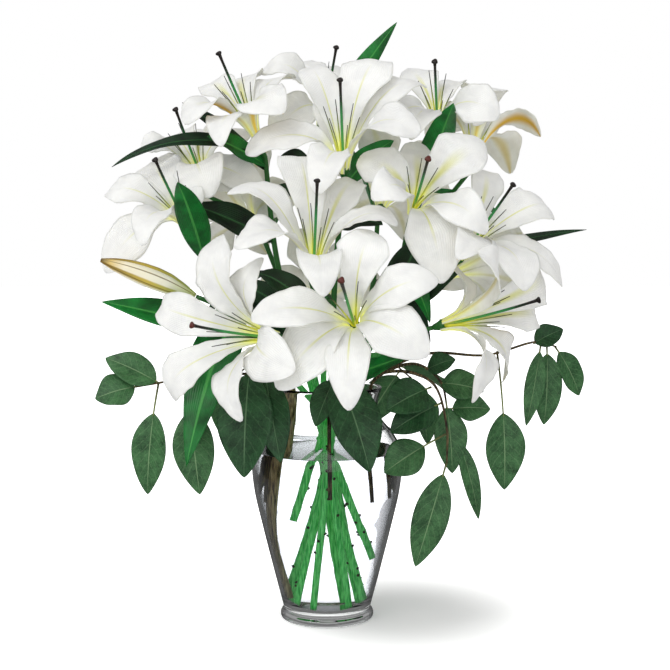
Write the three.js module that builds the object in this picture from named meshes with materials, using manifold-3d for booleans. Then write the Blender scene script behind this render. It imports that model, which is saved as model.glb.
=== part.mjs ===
// White lilies with green foliage in a footed glass urn vase.
// Millimetres, +Z up. The origin is the middle of the foot on the table, and the bouquet's front faces -Y.
import * as THREE from "three";
import { mergeVertices } from "three/addons/utils/BufferGeometryUtils.js";
import Module from "manifold-3d";

const wasm = await Module();
wasm.setup();

// ---- driving dimensions ----
const vase = {
  height: 261,
  footRadius: 52.5,
  footHeight: 8,
  footBevel: 2.5,
  waistRadius: 49.5,
  waistHeight: 13,
  bellyRadius: 84.5,
  bellyHeight: 172,
  shoulderRadius: 72,
  shoulderHeight: 213,
  collarRadius: 69.5,
  neckRadius: 57,
  neckHeight: 242,
  ringStep: 1.5,
  rimRadius: 61.5,
  rimRound: 1.5,
  edge: 1,
  wall: 4,
  floor: 14,
  floorRadius: 41.5,
  bodySwell: [[60.5, 55], [73, 105], [82, 145]],
  shoulderSwell: [[81.5, 195]],
  collarCurve: [[60.5, 226]],
  bodySteps: 6,
  collarSteps: 4,
  sides: 24,
};
const waterLevel = 190;
const gap = 0.3;
const bladeClear = 0.6;
const sliver = 0.28;
const stemForm = { radius: 3.4, sides: 6, steps: 5, neckLevel: 246 };
const pedicel = { radius: 2.5, sides: 5, steps: 3, straight: 14, budStraight: 12, drop: 30 };
const petal = { outerWidth: 43, innerWidth: 60, thickness: 1.5, throatDepth: 22, sector: 0.47 };
const petalFoot = { radius: 4.6, depth: 3, clawRadius: 7, clawHeight: 45, layer: 1.2 };
const petalArch = { reach: 0.62, curl: 0.34 };
const petalEdge = { claw: 0.15, wave: 2.6, leftTurns: 9, rightTurns: 8, rightShift: 2.4 };
const petalStations = [0, 0.2, 0.42, 0.64, 0.85, 1];
const evenBloom = { reach: 82, rise: 34 };
const receptacle = { radius: 6.2, height: 11, footRadius: 3.1, sides: 6 };
const hub = { radius: 3, height: 5 };
const pistil = { radius: 1.5, knob: 3.4, share: 0.88, sag: 3, bend: 0.6, lobeDip: 0.7 };
const filament = { radius: 0.9, length: 72, spread: 17, foot: 1.9, rise: 0.8, uneven: 0.08 };
const leafThickness = 1.3;
const leafHandles = [0.33, 0.7];
const lanceForm = { stations: [0, 0.22, 0.5, 0.78, 1], foot: 0.12, fold: 0.25, wave: 1.2 };
const broadForm = { stations: [0.03, 0.2, 0.45, 0.72, 0.9, 1], fold: 0.16, wave: 0.05, bow: 0.1 };
const broadStalk = { width: 2.6, share: 0.12 };
const budForm = { swell: [0.26, 0.62, 0.92, 1, 0.95, 0.8, 0.55, 0.16], sag: 5, sides: 6 };
const reachedLast = 0.985;

const colours = {
  glass: "#dfe9ec",
  water: "#e6eef0",
  stem: "#4f8f3c",
  petals: "#f6f5ee",
  stamens: "#a9b54a",
  foliage: "#2f5a3a",
  bud: "#e9ecd2",
};
const kindRoughness = {
  glass: 0.05,
  water: 0.02,
  stem: 0.5,
  petals: 0.6,
  stamens: 0.5,
  foliage: 0.5,
  bud: 0.6,
};

// ---- where the blooms are: throat, the way the pistil points, and the six petal tips from the throat ----
// Wide inner and narrow outer petals take turns: "even" marks a bloom whose first petal is a wide one.
const blooms = {
  l: {
    wide: "even",
    throat: [25, -150, 346],
    pistil: [-13, -82, 41],
    tips: [[20, -5, 84], [83, -30, 36], [71, -55, -35], [-4, -47, -88], [-74, -20, -70], [-99, -20, -2]],
  },
  k: {
    wide: "even",
    throat: [-70, -120, 326],
    pistil: [-68, -60, 14],
    tips: [[-44, -10, 95], [7, -30, 78], [40, -75, -30], [-13, -57, -81], [-84, -15, -64], [-100, 30, 31]],
  },
  m: {
    wide: "even",
    throat: [142, -90, 340],
    pistil: [82, -33, 24],
    tips: [[31, -65, 61], [-18, 45, 70], [82, 50, 50], [80, 60, 0], [47, 30, -68], [2, -60, -80]],
  },
  h: {
    throat: [-13, -120, 405],
    pistil: [4, -39, 83],
    tips: [[-88, 5, 64], [-21, 45, 100], [50, 60, 75], [75, -30, 40], [9, -92, -38], [-75, -60, 7]],
  },
  i: {
    throat: [94, -70, 466],
    pistil: [7, -80, 40],
    tips: [[4, 60, 66], [74, 20, 62], [66, -60, -38], [22, -55, -88], [-50, -80, -5], [-60, 10, 44]],
  },
  j: {
    throat: [153, -60, 421],
    pistil: [42, -50, 65],
    tips: [[11, 40, 80], [89, 30, 33], [96, -10, -47], [32, -73, -61], [-32, -90, -29], [-52, -30, 30]],
  },
  f: {
    throat: [-159, -30, 454],
    pistil: [-20, -70, 57],
    tips: [[-83, 10, 20], [-79, -20, -65], [-4, -79, -61], [63, -71, -30], [60, 45, 38], [-40, 60, 60]],
  },
  c: {
    throat: [17, -60, 518],
    pistil: [-4, -55, 74],
    tips: [[-41, 30, 88], [44, 25, 95], [89, 10, 68], [75, -62, 8], [-27, -80, -52], [-103, -5, -4]],
  },
  a: {
    throat: [-86, -10, 556],
    pistil: [-32, -45, 73],
    tips: [[-50, 55, 42], [-62, -55, -12], [-22, -85, -38], [41, -82, -4], [50, 40, 52], [-8, 78, 55]],
  },
  g: {
    throat: [-147, 30, 509],
    pistil: [-19, -64, 63],
    tips: [[5, 75, 50], [-35, 50, 38], [-66, -15, 10], [16, -81, -56], [81, -40, -17], [55, 45, 45]],
  },
  d: {
    throat: [124, 20, 567],
    pistil: [-10, -75, 52],
    tips: [[-16, -85, -41], [-46, -76, -6], [-30, 60, 60], [18, 75, 50], [60, 30, 0], [40, -60, -55]],
  },
  b: {
    throat: [-2, 70, 580],
    pistil: [14, -61, 67],
    curl: 0.46,
    tips: [[-74, -30, 35], [-50, 60, 58], [20, 85, 45], [70, 20, 10], [6, -70, -50], [-60, -50, -40]],
  },
  e: {
    throat: [172, 60, 541],
    pistil: [20, 45, 75],
    curl: 0.62,
    tips: [[62, 20, 25], [50, 50, -34], [30, 90, 10], [-50, 70, 10], [-66, 0, 25], [-8, -60, 50]],
  },
  p: { throat: [-95, 100, 452], pistil: [-38, 72, 40], turn: 20 },
  q: { throat: [70, 125, 478], pistil: [18, 74, 48], turn: 50 },
  r: { throat: [160, 95, 392], pistil: [62, 60, 26], turn: 5 },
  s: { throat: [0, 150, 362], pistil: [-8, 86, 22], turn: 35 },
};

// ---- stems: points from the cut end up to the bloom they carry, and branches to the others ----
const stems = {
  stem_1: {
    cut: [31, 4, 17],
    neck: [-14, 4],
    points: [[-56, 16, 400]],
    bloom: "a",
    branch: { g: [[-82, 30, 448]] },
  },
  stem_2: { cut: [-29, -4, 117], neck: [4, -4], points: [[10, -8, 400]], bloom: "c" },
  stem_3: { cut: [24, 20, 17], neck: [-4, 20], points: [[-4, 50, 420]], bloom: "b" },
  stem_4: {
    cut: [-33, 11, 17],
    neck: [16, 12],
    points: [[84, 40, 400]],
    bloom: "d",
    branch: { e: [[116, 54, 446]] },
  },
  stem_5: {
    cut: [42, -12, 72],
    neck: [-16, -12],
    points: [[-104, -10, 345]],
    bloom: "f",
    branch: { bud_1: [[-116, -46, 352]] },
  },
  stem_6: {
    cut: [22, -28, 17],
    neck: [-8, -28],
    points: [[-20, -66, 320]],
    bloom: "h",
    branch: { k: [[-34, -88, 306]] },
  },
  stem_7: {
    cut: [-30, -19, 17],
    neck: [14, -20],
    points: [[68, -32, 350]],
    bloom: "i",
    branch: { j: [[100, -34, 370]] },
  },
  stem_8: {
    cut: [-14, -33, 17],
    neck: [8, -36],
    points: [[30, -74, 305]],
    bloom: "l",
    branch: { m: [[78, -76, 308]] },
  },
  stem_9: {
    cut: [12, 34, 17],
    neck: [-10, 36],
    points: [[-44, 66, 350]],
    bloom: "p",
    branch: { s: [[-18, 98, 326]] },
  },
  stem_10: {
    cut: [-24, 26, 17],
    neck: [12, 28],
    points: [[52, 74, 360]],
    bloom: "q",
    branch: { r: [[100, 82, 360]], bud_2: [[82, 108, 356]] },
  },
};

// ---- lily leaves: the stem they grow from, how far up it, the tip, the width and the arch ----
const leaves = [
  { stem: "stem_3", at: 0.92, tip: [66, 40, 680], width: 24, arch: 6, showy: true },
  { stem: "stem_4", at: 0.72, tip: [134, -60, 568], width: 34, arch: 4, showy: true },
  { stem: "stem_1", at: 0.78, tip: [-158, -20, 574], width: 18, arch: 6, showy: true },
  { stem: "stem_1", at: 0.86, tip: [-232, -40, 502], width: 17, arch: 30 },
  { stem: "stem_1", at: 0.8, tip: [-136, -20, 532], width: 28, arch: 4 },
  { stem: "stem_1", at: 0.5, tip: [-152, -14, 464], width: 36, arch: 4 },
  { stem: "stem_5", at: 0.72, tip: [-150, -126, 480], width: 31, arch: 8, showy: true },
  { stem: "stem_5", at: 0.3, tip: [-241, -60, 358], width: 38, arch: 2, showy: true },
  { stem: "stem_5", at: 0.4, tip: [-142, -96, 177], width: 50, arch: 34, showy: true },
  { stem: "stem_6", at: 0.7, tip: [-72, -92, 388], width: 28, arch: 10 },
  { stem: "stem_6", at: 0.5, tip: [-104, -60, 380], width: 30, arch: 10 },
  { stem: "stem_6", at: 0.35, tip: [-98, -70, 362], width: 36, arch: 2 },
  { stem: "stem_7", at: 0.4, tip: [146, -70, 384], width: 38, arch: 2 },
  { stem: "stem_7", at: 0.45, tip: [102, -44, 430], width: 36, arch: 0 },
  { stem: "stem_7", at: 0.6, tip: [286, -20, 436], width: 15, arch: 6, showy: true },
  { stem: "stem_7", at: 0.62, tip: [108, -88, 336], width: 24, arch: 14 },
  { stem: "stem_8", at: 0.2, tip: [86, -100, 304], width: 28, arch: 0, showy: true },
  { stem: "stem_2", at: 0.86, tip: [74, -10, 534], width: 26, arch: 8 },
  { stem: "stem_2", at: 0.6, tip: [60, -50, 440], width: 28, arch: 8 },
  { stem: "stem_2", at: 0.7, tip: [-60, -30, 480], width: 28, arch: 8 },
  { stem: "stem_9", at: 0.6, tip: [-150, 110, 330], width: 36, arch: 20 },
  { stem: "stem_9", at: 0.8, tip: [-60, 170, 470], width: 32, arch: 14 },
  { stem: "stem_10", at: 0.5, tip: [130, 150, 300], width: 36, arch: 20 },
  { stem: "stem_10", at: 0.8, tip: [60, 180, 560], width: 30, arch: 14 },
  { stem: "stem_4", at: 0.66, tip: [220, 60, 440], width: 30, arch: 14 },
  { stem: "stem_3", at: 0.7, tip: [-60, 120, 520], width: 30, arch: 14 },
];

// ---- foliage sprays: the twig's points from its cut end, then each leaf's foot, tip and width ----
const sprays = {
  foliage_1: {
    twig: [[-60, -20, 136], [-46.1, -15, 246], [-104, -50, 280], [-164, -66, 274], [-204, -74, 268]],
    leaves: [
      { at: 0.84, tip: [-236, -66, 298], width: 36, stalk: 0.05 },
      { at: 1, tip: [-244, -82, 256], width: 42, stalk: 0.05 },
      { at: 0.84, tip: [-190, -80, 154], width: 38, stalk: 0.27 },
      { at: 0.68, tip: [-134, -86, 155], width: 44, stalk: 0.28 },
    ],
  },
  foliage_2: {
    twig: [[-36, -6, 26], [-39, -21, 246], [-50, -56, 284], [-84, -82, 298]],
    bow: [-51, -10, 100],
    radius: 6.5,
    leaves: [
      { at: 0.97, tip: [-86, -104, 176], width: 58 },
      { at: 0.85, tip: [-48, -104, 192], width: 38 },
    ],
  },
  foliage_3: {
    twig: [[3, -62, 146], [2, -48.4, 246], [12, -88, 284]],
    leaves: [
      { at: 0.96, tip: [44, -116, 184], width: 54, stalk: 0.05 },
      { at: 0.9, tip: [-12, -106, 230], width: 30 },
    ],
  },
  foliage_4: {
    twig: [
      [45, -44, 140], [34.3, -34.3, 246], [78, -66, 284],
      [112, -82, 272], [126, -84, 228], [127, -80, 186],
    ],
    leaves: [
      { at: 0.6, tip: [62, -100, 246], width: 44 },
      { at: 0.7, tip: [66, -96, 222], width: 38 },
      { at: 0.84, tip: [60, -92, 179], width: 42, stalk: 0.36 },
      { at: 1, tip: [94, -80, 76], width: 38 },
    ],
  },
  foliage_5: {
    twig: [[60, -17, 140], [46.8, -12.6, 246], [96, -44, 290], [122, -56, 272], [130, -58, 240]],
    leaves: [
      { at: 0.6, tip: [138, -60, 296], width: 26, stalk: 0.05 },
      { at: 0.76, tip: [168, -64, 262], width: 38, stalk: 0.05 },
      { at: 1, tip: [176, -58, 242], width: 34 },
      { at: 0.9, tip: [134, -68, 174], width: 36 },
      { at: 0.98, tip: [164, -58, 122], width: 20, stalk: 0.3 },
    ],
  },
  foliage_6: {
    twig: [
      [62, 6, 140], [48.3, 4.2, 246], [110, -10, 298],
      [176, -26, 298], [232, -18, 312], [256, -8, 306],
    ],
    leaves: [
      { at: 0.64, tip: [194, -42, 151], width: 44, stalk: 0.44 },
      { at: 0.84, tip: [219, -32, 220], width: 22 },
      { at: 0.9, tip: [243, -8, 218], width: 34 },
      { at: 1, tip: [284, 0, 250], width: 32 },
      { at: 0.8, tip: [262, -16, 326], width: 28, stalk: 0.05 },
    ],
  },
  foliage_7: {
    twig: [[-46, 42, 140], [-37, 31.2, 246], [-80, 84, 286], [-110, 124, 262]],
    leaves: [
      { at: 1, tip: [-130, 150, 180], width: 44 },
      { at: 0.86, tip: [-60, 150, 196], width: 46 },
      { at: 0.75, tip: [-164, 90, 226], width: 42 },
      { at: 0.66, tip: [-40, 134, 290], width: 36 },
    ],
  },
  foliage_8: {
    twig: [[46, 42, 140], [37, 31.2, 246], [72, 90, 282], [104, 124, 258]],
    leaves: [
      { at: 1, tip: [126, 146, 172], width: 44 },
      { at: 0.86, tip: [46, 156, 190], width: 46 },
      { at: 0.75, tip: [170, 92, 226], width: 42 },
    ],
  },
};
const twigForm = { radius: 2.2, sides: 5, taper: 0.55, power: 1.3, steps: 6, bowSteps: 4 };
const twigLip = { share: 1.1, rise: 7 };

// ---- half-open buds: foot on the stem, tip and girth ----
const buds = {
  bud_1: { foot: [-139, -72, 364], tip: [-236, -84, 402], girth: 12 },
  bud_2: { foot: [104, 140, 372], tip: [132, 210, 410], girth: 11 },
};

// ---- small helpers ----
function vec(p) {
  return new THREE.Vector3(p[0], p[1], p[2]);
}

function arr(v) {
  return [v.x, v.y, v.z];
}

function solidFrom(corners, triangles) {
  const mesh = new wasm.Mesh({
    numProp: 3,
    vertProperties: Float32Array.from(corners.flat()),
    triVerts: Uint32Array.from(triangles.flat()),
  });
  return new wasm.Manifold(mesh);
}

// A closed geometry as a solid, its doubled corners merged.
function solidOf(geometry) {
  const bare = geometry.clone();
  bare.deleteAttribute("normal");
  bare.deleteAttribute("uv");
  const merged = mergeVertices(bare, 1e-4);
  return solidFrom([...merged.attributes.position.array], [...merged.index.array]);
}

// The outer body of a fused solid, without sealed pockets, loose scraps and needless slivers.
function tidied(solid) {
  const parts = solid.simplify(sliver).decompose();
  return parts.reduce((best, part) => (part.volume() > best.volume() ? part : best));
}

function geometryOf(solid) {
  const mesh = tidied(solid).getMesh();
  const geometry = new THREE.BufferGeometry();
  geometry.setAttribute("position", new THREE.BufferAttribute(Float32Array.from(mesh.vertProperties), 3));
  geometry.setIndex(new THREE.BufferAttribute(Uint32Array.from(mesh.triVerts), 1));
  geometry.computeVertexNormals();
  return geometry;
}

// A rod of rings round a row of centres, with the radius of each, flat at both ends.
function rod(centres, radii, sides) {
  const points = [];
  const triangles = [];
  const last = centres.length - 1;
  const across = new THREE.Vector3(0.31, 0.52, 0.79);
  centres.forEach((centre, i) => {
    const before = centres[Math.max(i - 1, 0)];
    const along = centres[Math.min(i + 1, last)].clone().sub(before).normalize();
    across.addScaledVector(along, -across.dot(along)).normalize();
    const up = new THREE.Vector3().crossVectors(along, across);
    const radius = Array.isArray(radii) ? radii[i] : radii;
    for (let k = 0; k < sides; k += 1) {
      const angle = (k / sides) * 2 * Math.PI;
      const point = centre.clone().addScaledVector(across, radius * Math.cos(angle));
      points.push(arr(point.addScaledVector(up, radius * Math.sin(angle))));
    }
  });
  for (let k = 1; k < sides - 1; k += 1) {
    triangles.push([0, k + 1, k], [last * sides, last * sides + k, last * sides + k + 1]);
  }
  for (let i = 0; i < last; i += 1) {
    for (let k = 0; k < sides; k += 1) {
      const a = i * sides + k;
      const b = i * sides + ((k + 1) % sides);
      triangles.push([a, b, b + sides], [a, b + sides, a + sides]);
    }
  }
  return solidFrom(points, triangles);
}

// A thin blade along a curve: sharp margins, a thick midrib, a channelled section and waved edges.
// Both faces share their margins and are split alike, so that they never cross.
function blade(curve, sideways, form) {
  const points = [];
  const triangles = [];
  const stations = form.stations;
  const last = stations.length - 1;
  stations.forEach((at, i) => {
    const centre = curve.getPoint(at);
    if (i === last) {
      points.push(arr(centre));
      return;
    }
    const along = curve.getTangent(at);
    const side = sideways.clone().addScaledVector(along, -sideways.dot(along)).normalize();
    const inward = new THREE.Vector3().crossVectors(along, side);
    const half = form.width(at) / 2;
    const wave = form.wave ? form.wave(at) : [0, 0];
    const lift = form.lift(at, half);
    const left = centre.clone().addScaledVector(side, -half).addScaledVector(inward, lift + wave[0]);
    const right = centre.clone().addScaledVector(side, half).addScaledVector(inward, lift + wave[1]);
    const upper = centre.clone().addScaledVector(inward, form.thickness / 2);
    const lower = centre.clone().addScaledVector(inward, -form.thickness / 2);
    points.push(arr(left), arr(upper), arr(right), arr(lower));
  });
  triangles.push([0, 1, 2], [0, 2, 3]);
  for (let i = 0; i < last - 1; i += 1) {
    for (let k = 0; k < 4; k += 1) {
      const a = 4 * i + k;
      const b = 4 * i + ((k + 1) % 4);
      if (k % 2 === 0) triangles.push([a, a + 4, b + 4], [a, b + 4, b]);
      else triangles.push([a, a + 4, b], [b, a + 4, b + 4]);
    }
  }
  const ring = 4 * (last - 1);
  for (let k = 0; k < 4; k += 1) triangles.push([ring + k, 4 * last, ring + ((k + 1) % 4)]);
  return solidFrom(points, triangles);
}

function curve3(points) {
  return new THREE.CatmullRomCurve3(points.map(vec), false, "centripetal");
}

function shift(point, direction, distance) {
  return vec(point).addScaledVector(direction, distance);
}

// ---- keeping clear of what is already in place ----
const placed = [];

function boxesMeet(a, b) {
  for (let k = 0; k < 3; k += 1) {
    if (a.min[k] > b.max[k] + bladeClear || b.min[k] > a.max[k] + bladeClear) return false;
  }
  return true;
}

function place(solid, owner) {
  placed.push({ solid, owner, box: solid.boundingBox() });
}

function isClear(solid, owner) {
  const box = solid.boundingBox();
  return placed.every((other) => {
    if (other.owner === owner || !boxesMeet(box, other.box)) return true;
    return solid.minGap(other.solid, 2 * bladeClear) > bladeClear;
  });
}

// The bends that are tried, smallest first: degrees of swing and of lift, then shorter.
const bends = [];
for (const length of [1, 0.9, 0.8, 0.68, 0.56, 0.44]) {
  const ring = [];
  for (const swing of [0, 7, -7, 14, -14, 21, -21, 28, -28]) {
    for (const lift of [0, 7, -7, 14, -14, 21, -21, 28, -28]) ring.push({ swing, lift, length });
  }
  ring.sort((a, b) => Math.hypot(a.swing, a.lift) - Math.hypot(b.swing, b.lift));
  bends.push(...ring);
}

// A blade as first bent clear of everything in place, or nothing if no bend clears it.
function bendClear(make, owner) {
  for (const bend of bends) {
    const solid = make(bend);
    if (isClear(solid, owner)) return solid;
  }
  return null;
}

// ---- vase and water ----
function rounded(outline, steps) {
  const curve = curve3(outline.map(([r, z]) => [r, z, 0]));
  return curve.getPoints(steps).map((p) => [p.x, p.y]);
}

// The outside of the glass above its foot, as radius and height: the body, then the neck.
function vaseOutline() {
  const v = vase;
  const lower = [[v.waistRadius, v.waistHeight], ...v.bodySwell, [v.bellyRadius, v.bellyHeight]];
  const upper = [...v.shoulderSwell, [v.shoulderRadius, v.shoulderHeight]];
  const neck = [[v.collarRadius, v.shoulderHeight + v.ringStep], ...v.collarCurve];
  neck.push([v.neckRadius, v.neckHeight], [v.rimRadius, v.height - v.edge]);
  return { body: rounded([...lower, ...upper], v.bodySteps), collar: rounded(neck, v.collarSteps) };
}

// The inside of the glass from the rim down, with every second corner below the water.
function insideWall() {
  const { body, collar } = vaseOutline();
  const aboveFloor = vase.floor + 1.5 * vase.wall;
  return [...collar.slice(0, -1).reverse(), ...body.slice().reverse()]
    .map(([r, z]) => [r - vase.wall, z])
    .filter(([, z], i) => z > aboveFloor && (i % 2 === 0 || z > waterLevel));
}

function turned(outline, sides) {
  const lathe = new THREE.LatheGeometry(outline.map(([r, z]) => new THREE.Vector2(r, z)), sides);
  return solidOf(lathe.rotateX(Math.PI / 2));
}

function makeVase() {
  const { body, collar } = vaseOutline();
  const v = vase;
  const inset = v.footRadius - v.footBevel;
  const foot = [[0, 0], [inset, 0], [v.footRadius, v.footBevel], [v.footRadius, v.footHeight - v.footBevel]];
  foot.push([inset, v.footHeight], [v.waistRadius - v.edge, v.footHeight + v.footBevel]);
  const rim = [[v.rimRadius - v.rimRound, v.height], [v.rimRadius - v.wall + v.edge, v.height - v.edge]];
  const bottom = [[v.floorRadius, v.floor + v.edge], [0, v.floor]];
  return turned([...foot, ...body, ...collar, ...rim, ...insideWall(), ...bottom], v.sides);
}

function makeWater(holes) {
  const v = vase;
  const wall = insideWall().reverse();
  const above = wall.findIndex(([, z]) => z > waterLevel);
  const [low, high] = [wall[above - 1], wall[above]];
  const share = (waterLevel - low[1]) / (high[1] - low[1]);
  const edge = [low[0] + share * (high[0] - low[0]), waterLevel];
  const side = [...wall.slice(0, above), edge].map(([r, z]) => [r - gap * 1.2, z]);
  const bottom = [[0, v.floor + gap], [v.floorRadius - gap, v.floor + v.edge + gap]];
  const outline = [...bottom, ...side, [0, waterLevel]];
  return holes.reduce((water, hole) => water.subtract(hole), turned(outline, v.sides));
}

// ---- bloom parts ----
function bloomFrame(bloom) {
  const axis = vec(bloom.pistil).normalize();
  const base = shift(bloom.throat, axis, -petal.throatDepth);
  return { axis, base };
}

// Where an evenly opened bloom's tips are, from its throat.
function evenTips(bloom) {
  const { axis } = bloomFrame(bloom);
  const first = new THREE.Vector3(0, 0, 1).addScaledVector(axis, -axis.z).normalize();
  const second = new THREE.Vector3().crossVectors(axis, first);
  return [0, 1, 2, 3, 4, 5].map((k) => {
    const angle = THREE.MathUtils.degToRad(bloom.turn + 60 * k);
    const out = first.clone().multiplyScalar(Math.cos(angle)).addScaledVector(second, Math.sin(angle));
    return arr(out.multiplyScalar(evenBloom.reach).addScaledVector(axis, evenBloom.rise));
  });
}

function petalCurve(frame, bloom, tip, bend) {
  const toTip = shift(bloom.throat, vec(tip), 1).sub(frame.base);
  toTip.applyAxisAngle(frame.axis, THREE.MathUtils.degToRad(bend.swing));
  const hinge = new THREE.Vector3().crossVectors(frame.axis, toTip).normalize();
  toTip.applyAxisAngle(hinge, THREE.MathUtils.degToRad(bend.lift)).multiplyScalar(bend.length);
  const rise = toTip.dot(frame.axis);
  const out = toTip.clone().addScaledVector(frame.axis, -rise);
  const reach = out.length();
  const radial = out.normalize();
  const crest = rise + (bloom.curl ?? petalArch.curl) * toTip.length();
  const at = (away, up) => frame.base.clone().addScaledVector(radial, away).addScaledVector(frame.axis, up);
  const p0 = at(petalFoot.radius, -petalFoot.depth);
  const p1 = at(petalFoot.clawRadius, petalFoot.clawHeight * bend.length);
  const p2 = at(petalArch.reach * reach, crest);
  const p3 = frame.base.clone().add(toTip);
  const sideways = new THREE.Vector3().crossVectors(frame.axis, radial).normalize();
  return { curve: new THREE.CubicBezierCurve3(p0, p1, p2, p3), sideways, radial };
}

// How wide a petal is along its length, as a share of its widest.
function petalWidth(s) {
  return petalEdge.claw * (1 - s) + Math.sin(Math.PI * s ** 1.1) ** 0.6;
}

// How far a petal's left and right margins are waved at a place along it.
function petalWave(s, order) {
  const { wave, leftTurns, rightTurns, rightShift } = petalEdge;
  const size = wave * Math.sin(Math.PI * s);
  return [size * Math.sin(leftTurns * s + order), size * Math.sin(rightTurns * s + rightShift * order)];
}

function petalBlade(frame, bloom, tip, order, bend) {
  const { curve, sideways, radial } = petalCurve(frame, bloom, tip, bend);
  const inner = order % 2 === (bloom.wide === "even" ? 0 : 1);
  const widest = (inner ? petal.innerWidth : petal.outerWidth) * (0.5 + 0.5 * bend.length);
  if (!inner) curve.v1.addScaledVector(radial, petalFoot.layer);
  const radiusAt = (s) => {
    const out = curve.getPoint(s).sub(frame.base);
    return out.addScaledVector(frame.axis, -out.dot(frame.axis)).length();
  };
  return blade(curve, sideways, {
    stations: petalStations,
    thickness: petal.thickness,
    width: (s) => Math.min(widest * petalWidth(s), 2 * petal.sector * radiusAt(s)),
    lift: (s, half) => radiusAt(s) * (1 - Math.cos(half / radiusAt(s))),
    wave: (s) => petalWave(s, order),
  });
}

function makeReceptacle(frame) {
  const { radius, height } = receptacle;
  const outline = [[0, -height], [receptacle.footRadius, -height], [radius, 0], [0, 0]];
  const lathe = new THREE.LatheGeometry(outline.map(([r, z]) => new THREE.Vector2(r, z)), receptacle.sides);
  const turn = new THREE.Quaternion().setFromUnitVectors(new THREE.Vector3(0, 1, 0), frame.axis);
  lathe.applyQuaternion(turn);
  lathe.translate(...arr(frame.base));
  return solidOf(lathe);
}

function makePetals(name, bloom) {
  const frame = bloomFrame(bloom);
  const owner = "petals_" + name;
  let body = solids.get(owner);
  (bloom.tips ?? evenTips(bloom)).forEach((tip, order) => {
    const grown = bendClear((bend) => petalBlade(frame, bloom, tip, order, bend), owner);
    if (grown) {
      body = body.add(grown);
      place(grown, owner);
    }
  });
  return body;
}

// Where a bloom's pistil runs and its six filaments end, round the pistil's foot.
function heartForm(bloom) {
  const { axis, base } = bloomFrame(bloom);
  const first = new THREE.Vector3().crossVectors(axis, new THREE.Vector3(0.2, 1, 0.1)).normalize();
  const second = new THREE.Vector3().crossVectors(axis, first);
  const foot = base.clone().addScaledVector(axis, gap);
  const end = vec(bloom.throat).addScaledVector(vec(bloom.pistil), pistil.share);
  const out = (k) => {
    const angle = (k / 6) * 2 * Math.PI;
    return first.clone().multiplyScalar(Math.cos(angle)).addScaledVector(second, Math.sin(angle));
  };
  const filamentAt = (k) => {
    const root = foot.clone().addScaledVector(axis, filament.rise).addScaledVector(out(k), filament.foot);
    const reach = filament.length * (1 - filament.uneven * (1 - Math.cos(5 * k)));
    return [root, root.clone().addScaledVector(axis, reach).addScaledVector(out(k), filament.spread)];
  };
  return { axis, foot, end, out, filamentAt };
}

// A mesh that grows by rings of six corners, each turned to the filaments' places.
function sixSided(out) {
  const points = [];
  const triangles = [];
  const ring = (centre, radiusOf, turn = 0) => {
    for (let k = 0; k < 6; k += 1) points.push(arr(shift(arr(centre), out(k + turn), radiusOf(k))));
    return points.length - 6;
  };
  const join = (low, high) => {
    for (let k = 0; k < 6; k += 1) {
      const next = (k + 1) % 6;
      triangles.push([low + k, low + next, high + next], [low + k, high + next, high + k]);
    }
  };
  return { points, triangles, ring, join };
}

// The hub with a bare top, and the pistil from the hexagon in that top up to its three-lobed knob.
function addPistil(mesh, form) {
  const { triangles, ring, join } = mesh;
  const { axis, foot, end } = form;
  const round = (radius) => () => radius;
  const lobed = (radius) => (k) => radius * (k % 2 === 0 ? 1 : pistil.lobeDip);
  const hubTop = shift(arr(foot), axis, hub.height);
  const under = ring(foot, round(hub.radius), 0.5);
  const rim = ring(hubTop, round(hub.radius), 0.5);
  const bow = foot.clone().lerp(end, 0.5).add(new THREE.Vector3(0, 0, -pistil.sag));
  const style = new THREE.QuadraticBezierCurve3(foot, bow, end);
  const base = ring(hubTop, round(pistil.radius));
  const rings = [base];
  for (const centre of [style.getPoint(pistil.bend), end]) rings.push(ring(centre, round(pistil.radius)));
  rings.push(ring(shift(arr(end), axis, pistil.knob / 2), lobed(pistil.knob)));
  rings.push(ring(shift(arr(end), axis, pistil.knob), lobed(pistil.lobeDip * pistil.knob)));
  join(under, rim);
  rings.slice(1).forEach((high, i) => join(rings[i], high));
  const top = rings.at(-1);
  for (let k = 1; k < 5; k += 1) {
    triangles.push([under, under + k + 1, under + k], [top, top + k, top + k + 1]);
  }
  return { base, rim };
}

// A three-sided filament from its foothold, three corners of the hub's top, to its tip.
function addFilament(mesh, form, k, tip, foothold) {
  const { points, triangles } = mesh;
  for (const turn of [3, -3 / Math.PI, 3 / Math.PI]) {
    points.push(arr(tip.clone().addScaledVector(form.out(k + turn), filament.radius)));
  }
  const last = points.length - 3;
  for (let c = 0; c < 3; c += 1) {
    const next = (c + 1) % 3;
    triangles.push([foothold[c], foothold[next], last + next], [foothold[c], last + next, last + c]);
  }
  triangles.push([last, last + 1, last + 2]);
}

// Pistil and filaments rise from one small hub, whose top is split between them.
// A filament that a petal or another bloom is in the way of is left out.
function makeStamens(name, bloom) {
  const form = heartForm(bloom);
  const owner = "stamens_" + name;
  const mesh = sixSided(form.out);
  const { base, rim } = addPistil(mesh, form);
  for (let k = 0; k < 6; k += 1) {
    const [root, tip] = form.filamentAt(k);
    const foothold = [base + k, rim + ((k + 5) % 6), rim + k];
    mesh.triangles.push([base + k, rim + k, base + ((k + 1) % 6)]);
    if (isClear(rod([root, tip], filament.radius, 3), owner)) addFilament(mesh, form, k, tip, foothold);
    else mesh.triangles.push(foothold);
  }
  const body = solidFrom(mesh.points, mesh.triangles);
  place(body, owner);
  return body;
}

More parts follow.
